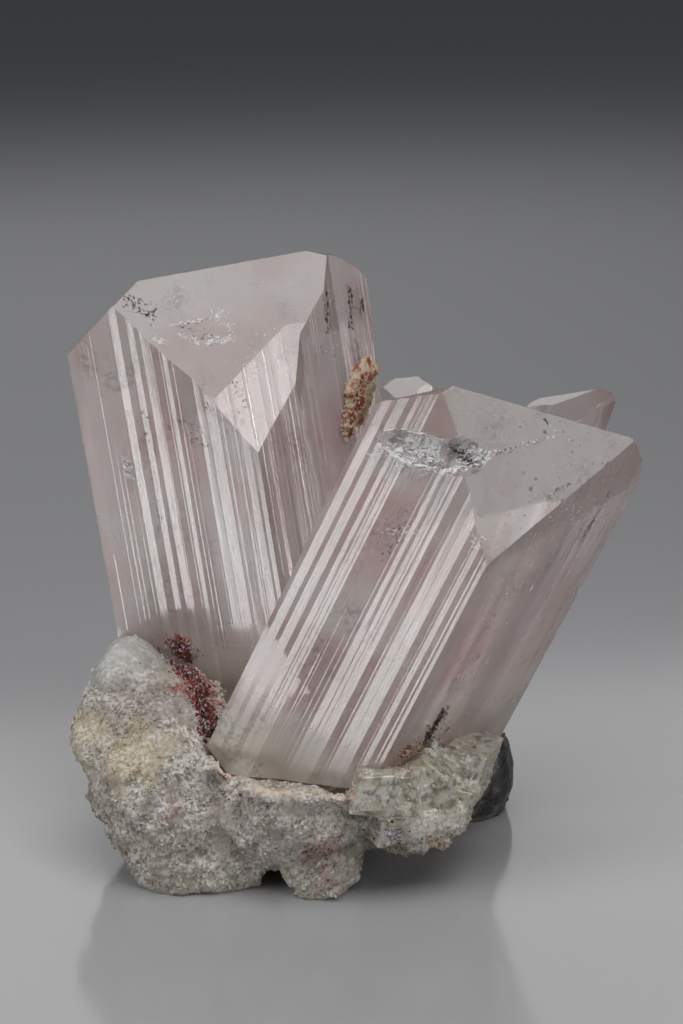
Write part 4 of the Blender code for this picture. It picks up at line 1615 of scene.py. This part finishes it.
    def grain_places(self, skin: Any, draw: np.random.Generator) -> np.ndarray:
        """Choose where the grains lie: mostly on rough ground, and in patches.

        Args:
            skin: The rock's skin, in millimetres.
            draw: The random draws.

        Returns:
            The grains' middles, as rows of x, y and z.
        """
        mesh = skin.data
        mesh.calc_loop_triangles()
        points = coordinates(mesh)
        corners = np.array([t.vertices[:] for t in mesh.loop_triangles])
        shares = {z: np.zeros(len(points)) for z in Zone}
        for zone in Zone:
            mesh.attributes[zone.value].data.foreach_get("value", shares[zone])
        calm = np.maximum.reduce([shares[Zone.QUARTZ], shares[Zone.KNOB], shares[Zone.SOCKET],
                                  shares[Zone.RIM], 0.7 * shares[Zone.CALCITE]])
        a, b, c = (points[corners[:, i]] for i in range(3))
        area = np.linalg.norm(np.cross(b - a, c - a), axis=1)
        apart = Vector((5, 2, 9))
        patchy = np.array([noise.noise(Vector(p) / self.grain_patch_mm + apart) for p in a])
        weight = area * np.clip(1.0 - calm[corners].mean(axis=1), self.grain_on_calm, 1.0)
        weight = weight * np.clip(
            self.grain_mean + self.grain_swing * patchy, *self.grain_range)
        weight = weight * (a[:, 2] > self.grain_bare_foot)
        chosen = draw.choice(len(area), self.grain_count, p=weight / weight.sum())
        u, v = draw.random((2, self.grain_count))
        fold = u + v > 1.0
        u[fold], v[fold] = 1.0 - u[fold], 1.0 - v[fold]
        return a[chosen] + (b - a)[chosen] * u[:, None] + (c - a)[chosen] * v[:, None]

    def grains(self, skin: Any) -> Any:
        """Scatter small rhombs of calcite over the sugary ground, as one mesh.

        Args:
            skin: The rock's skin, in millimetres.

        Returns:
            The grains' object, in millimetres.
        """
        draw = np.random.default_rng(self.seed)
        places = self.grain_places(skin, draw)
        sizes = draw.uniform(*self.grain_sizes, self.grain_count)
        sizes = sizes * draw.uniform(*self.grain_shares, self.grain_count)
        # A cleavage rhomb: a cube that leans
        cube = np.array([(x + self.grain_slant * z, y, z) for z in (-1, 1) for y in (-1, 1)
                         for x in (-1, 1)]) / 2.0
        sides = np.array([(0, 2, 3, 1), (4, 5, 7, 6), (0, 1, 5, 4), (2, 6, 7, 3),
                          (0, 4, 6, 2), (1, 3, 7, 5)])
        stretch = draw.uniform(*self.grain_stretch, (self.grain_count, 1, 3))
        quats = draw.normal(size=(self.grain_count, 4))
        quats /= np.linalg.norm(quats, axis=1)[:, None]
        w, x, y, z = quats.T
        turns = np.stack([
            1 - 2 * (y * y + z * z), 2 * (x * y - z * w), 2 * (x * z + y * w),
            2 * (x * y + z * w), 1 - 2 * (x * x + z * z), 2 * (y * z - x * w),
            2 * (x * z - y * w), 2 * (y * z + x * w), 1 - 2 * (x * x + y * y)],
            axis=1).reshape(-1, 3, 3)
        shaped = cube[None] * stretch * sizes[:, None, None]
        verts = np.einsum("nij,nkj->nki", turns, shaped) + places[:, None, :]
        verts = inside_box(verts.reshape(-1, 3))
        verts[:, 2] = np.maximum(verts[:, 2], self.grain_off_floor)
        faces = sides[None] + len(cube) * np.arange(self.grain_count)[:, None, None]
        made = bpy.data.meshes.new("matrix_grains")
        made.from_pydata(verts.tolist(), [], faces.reshape(-1, 4).tolist())
        thing = mesh_object("matrix_grains", made)
        for zone, values in self.zone_shares(places, np.zeros(len(places))).items():
            store(made, zone.value, "POINT", np.repeat(values, len(cube)))
        return thing


@dataclass
class CalciteBlocks:
    """Cleaved calcite blocks at the right, with flat stepped faces and worn edges.

    Each has its middle, its size, and how far it is turned and tipped, in degrees. It is
    modelled in steps, each smaller than the one before, moved and tipped a little.
    """

    blocks: tuple[tuple[Triple, Triple, float, float], ...] = (
        ((1.9, -19.6, 16.0), (5.2, 5.6, 5.6), 10.0, 8.0),
        ((5.6, -18.4, 15.4), (5.0, 6.4, 5.4), -14.0, -9.0),
        ((8.6, -16.2, 16.8), (4.8, 5.5, 4.8), -14.0, 38.0),
        ((9.3, -16.2, 14.2), (5.0, 6.0, 5.0), 20.0, -14.0),
        ((12.0, -13.4, 12.4), (5.6, 6.4, 5.6), -8.0, 12.0),
        ((13.6, -10.5, 14.3), (6.0, 8.0, 9.0), -20.0, 6.0),
        ((9.6, -14.0, 9.6), (6.5, 7.0, 5.0), -6.0, 18.0),
        ((4.2, -18.8, 10.6), (4.6, 4.5, 3.6), 20.0, -8.0),
    )
    slant: float = 0.22
    edge_wear: float = 0.14
    wear_shares: Pair = (0.7, 1.6)
    steps: int = 2
    step_in: float = 0.16
    step_move: float = 0.06
    step_tip: float = 14.0
    seed: int = 3

    def build(self) -> Any:
        """Model the blocks as one joined piece.

        Returns:
            The object, in millimetres.
        """
        draw = random.Random(self.seed)
        made = []
        slant = Matrix.Identity(4)
        slant[0][2] = self.slant
        for centre, size, turn_z, turn_y in self.blocks:
            for step in range(self.steps):
                deselect_all()
                bpy.ops.mesh.primitive_cube_add(size=1.0, location=(0.0, 0.0, 0.0))
                block = bpy.context.object
                # A step keeps its length along one axis and shrinks along the other two
                shrink = 1.0 - self.step_in * step
                sides = [edge * (shrink if axis != step % 3 else 1.0)
                         for axis, edge in enumerate(size)]
                move = Vector([
                    draw.uniform(-self.step_move, self.step_move) * edge for edge in size])
                tip = math.radians(draw.uniform(-self.step_tip, self.step_tip)) * step
                place = stand(centre, turn_z, turn_y) @ Matrix.Translation(move * step * 2.0)
                place = place @ Matrix.Rotation(tip, 4, "XYZ"[step]) @ slant
                block.data.transform(place @ Matrix.Diagonal((*sides, 1.0)))
                bpy.ops.object.mode_set(mode="EDIT")
                bpy.ops.mesh.select_all(action="SELECT")
                wear = self.edge_wear * draw.uniform(*self.wear_shares)
                bpy.ops.mesh.bevel(offset=wear, segments=1)
                bpy.ops.object.mode_set(mode="OBJECT")
                made.append(block)
        deselect_all()
        for block in made:
            block.select_set(True)
        bpy.context.view_layer.objects.active = made[0]
        bpy.ops.object.join()
        thing = bpy.context.object
        thing.name = "calcite_blocks"
        set_coordinates(thing.data, inside_box(coordinates(thing.data)))
        return thing


@dataclass
class IronCrust:
    """The crumbly scab against the left crystal's right edge."""

    facet: float = 0.28
    lump: float = 0.32
    crumb_mm: float = 0.8
    swell_mm: float = 1.5

    def build(self, node: Any) -> Any:
        """Model the crust over its CAD solid's form.

        Args:
            node: The CAD node.

        Returns:
            The crust's object, in millimetres.
        """
        thing = node_skin("iron_crust_skin", node, self.facet)
        for vert in thing.data.vertices:
            crumb = 0.5 - noise.voronoi(vert.co / self.crumb_mm)[0][0]
            swell = noise.noise(vert.co / self.swell_mm)
            vert.co += vert.normal * self.lump * (crumb + swell)
        return thing


# Studio


def area_light(name: str, width: float, height: float, radiance: float) -> Any:
    """Add a light panel that isn't seen itself.

    Args:
        name: Its name.
        width: Its width, in metres.
        height: Its height, in metres.
        radiance: How bright it shines.

    Returns:
        The light's object.
    """
    lamp = bpy.data.lights.new(name, "AREA")
    lamp.shape = "RECTANGLE"
    lamp.size, lamp.size_y = width, height
    lamp.energy = radiance * math.pi * width * height
    thing = bpy.data.objects.new(name, lamp)
    bpy.context.scene.collection.objects.link(thing)
    thing.visible_camera = False
    return thing


@dataclass
class Softbox:
    """A soft light panel, in metres and degrees, placed by its bearing from the specimen.

    The bearing counts to the left of the viewer's line of sight. The panel faces the
    specimen's middle, and tip turns it down from there.
    """

    name: str
    bearing: float
    rise: float
    distance: float
    width: float
    height: float
    radiance: float
    tip: float = 0.0
    middle: Triple = (0.0, 0.0, 0.04)

    def build(self) -> Any:
        """Set the panel up.

        Returns:
            The light's object.
        """
        thing = area_light(self.name, self.width, self.height, self.radiance)
        turn, lift = math.radians(self.bearing), math.radians(self.rise)
        towards = Vector((-math.sin(turn) * math.cos(lift), -math.cos(turn) * math.cos(lift),
                          math.sin(lift)))
        thing.location = Vector(self.middle) + towards * self.distance
        level = towards.cross(Vector((0.0, 0.0, 1.0))).normalized()
        facing = Matrix.Rotation(math.radians(self.tip), 3, level) @ towards
        thing.rotation_euler = facing.to_track_quat("Z", "Y").to_euler()
        return thing


@dataclass
class GrowthLight:
    """A low strip on the table, in millimetres, for a crystal's steep growth faces.

    The faces mirror its glow, and it lights that crystal alone.
    """

    name: str
    start: Pair
    end: Pair
    width: float
    radiance: float
    crystal: str
    height: float = 0.5

    def build(self, crystal: Any) -> Any:
        """Set the strip up, facing upwards.

        Args:
            crystal: The piece that it lights.

        Returns:
            The light's object.
        """
        start, end = Vector(self.start) * MM, Vector(self.end) * MM
        run, middle = end - start, (start + end) / 2.0
        thing = area_light(self.name, run.length, self.width * MM, self.radiance)
        thing.location = (middle.x, middle.y, self.height * MM)
        thing.rotation_euler = (Matrix.Rotation(math.atan2(run.y, run.x), 3, "Z")
                                @ Matrix.Rotation(math.pi, 3, "X")).to_euler()
        only = bpy.data.collections.new(self.name + "_lights")
        only.objects.link(crystal)
        thing.light_linking.receiver_collection = only
        return thing


@dataclass
class Studio:
    """Plain pale floor, soft panels, a weak even surround, and the camera.

    The floor's size is in metres, and the camera's aim and distance are in millimetres.
    """

    floor_finish: TableFinish
    floor_size: float = 4.0
    floor_drop: float = 0.02
    surround: float = 0.05
    surround_colour: str = "#F3F9FF"
    aim: Triple = (-1.0, 0.75, 46.5)
    camera_distance: float = 370.0
    camera_rise: float = 17.0
    lens: float = 100.0
    clip: Pair = (0.01, 20.0)
    softboxes: tuple[Softbox, ...] = (
        Softbox("top_panel", -15.0, 66.0, 0.42, 0.30, 0.30, 3.2),
        Softbox("left_panel", 62.0, 22.0, 0.40, 0.22, 0.26, 2.4),
        Softbox("right_panel", -48.0, 11.0, 0.45, 0.25, 0.25, 1.8),
        Softbox("back_panel", 168.0, 26.0, 0.45, 0.50, 0.24, 1.0, 32.0),
    )
    strips: tuple[GrowthLight, ...] = (
        GrowthLight("right_growth_strip", (-45, -50), (-255, -290), 50.0, 4.5, "right_crystal"),
        GrowthLight("left_growth_strip", (-38, -14), (-255, -105), 34.0, 4.5, "left_crystal"),
    )

    def build(self, crystals: dict[str, Any]) -> None:
        """Set up floor, lights, surround and camera.

        Args:
            crystals: The crystal pieces by their CAD node's name.
        """
        deselect_all()
        bpy.ops.mesh.primitive_plane_add(
            size=self.floor_size, location=(0.0, 0.0, -self.floor_drop * MM))
        floor = bpy.context.object
        floor.name = "floor"
        floor.data.materials.append(self.floor_finish.material())
        for softbox in self.softboxes:
            softbox.build()
        for strip in self.strips:
            strip.build(crystals[strip.crystal])
        world = bpy.data.worlds.new("studio")
        bpy.context.scene.world = world
        world.use_nodes = True
        glow = world.node_tree.nodes["Background"]
        glow.inputs["Color"].default_value = linear(self.surround_colour)
        glow.inputs["Strength"].default_value = self.surround
        self.place_camera()
        bpy.context.scene.view_settings.view_transform = "Standard"

    def place_camera(self) -> None:
        """Set the camera at the photograph's viewing angle."""
        rise = math.radians(self.camera_rise)
        back = Vector((0.0, -math.cos(rise), math.sin(rise)))
        camera = bpy.data.cameras.new("camera")
        camera.lens = self.lens
        camera.clip_start, camera.clip_end = self.clip
        thing = bpy.data.objects.new("camera", camera)
        bpy.context.scene.collection.objects.link(thing)
        thing.location = (Vector(self.aim) + back * self.camera_distance) * MM
        thing.rotation_euler = back.to_track_quat("Z", "Y").to_euler()
        bpy.context.scene.camera = thing


def main() -> None:
    """Build every sub-assembly in order."""
    logging.basicConfig(level=logging.INFO)
    end_pits = EtchPits(count=150, low=(19.5, -22.0, 48.0), high=(35.0, -8.0, 66.0),
                        sizes=(0.2, 0.75), on_end=True, seed=9)
    group = CrystalGroup(DanburiteFinish(), ConchoidalChip(), EtchPits(), end_pits)
    crystals = group.build()
    clear = search_tree(crystals.values())
    rock = MatrixRock()
    skin = rock.skin(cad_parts["matrix"], clear)
    grains = rock.grains(skin)
    blocks = CalciteBlocks().build()
    crust = IronCrust().build(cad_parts["iron_crust"])
    outside = search_tree([*crystals.values(), skin, blocks])
    crust_side = search_tree([crust])

    INCLUSIONS.build(clear)
    CRUMBS.build(outside)
    CRUST_CRUMBS.build(crust_side)
    rock_finish = MatrixFinish().material()
    finish_piece(skin, rock_finish, "matrix")
    finish_piece(grains, rock_finish)
    finish_piece(blocks, CalciteFinish().material())
    finish_piece(crust, CrustFinish().material(), "iron_crust")
    group.dress(crystals)
    Studio(TableFinish()).build(crystals)


if __name__ == "__main__":
    main()
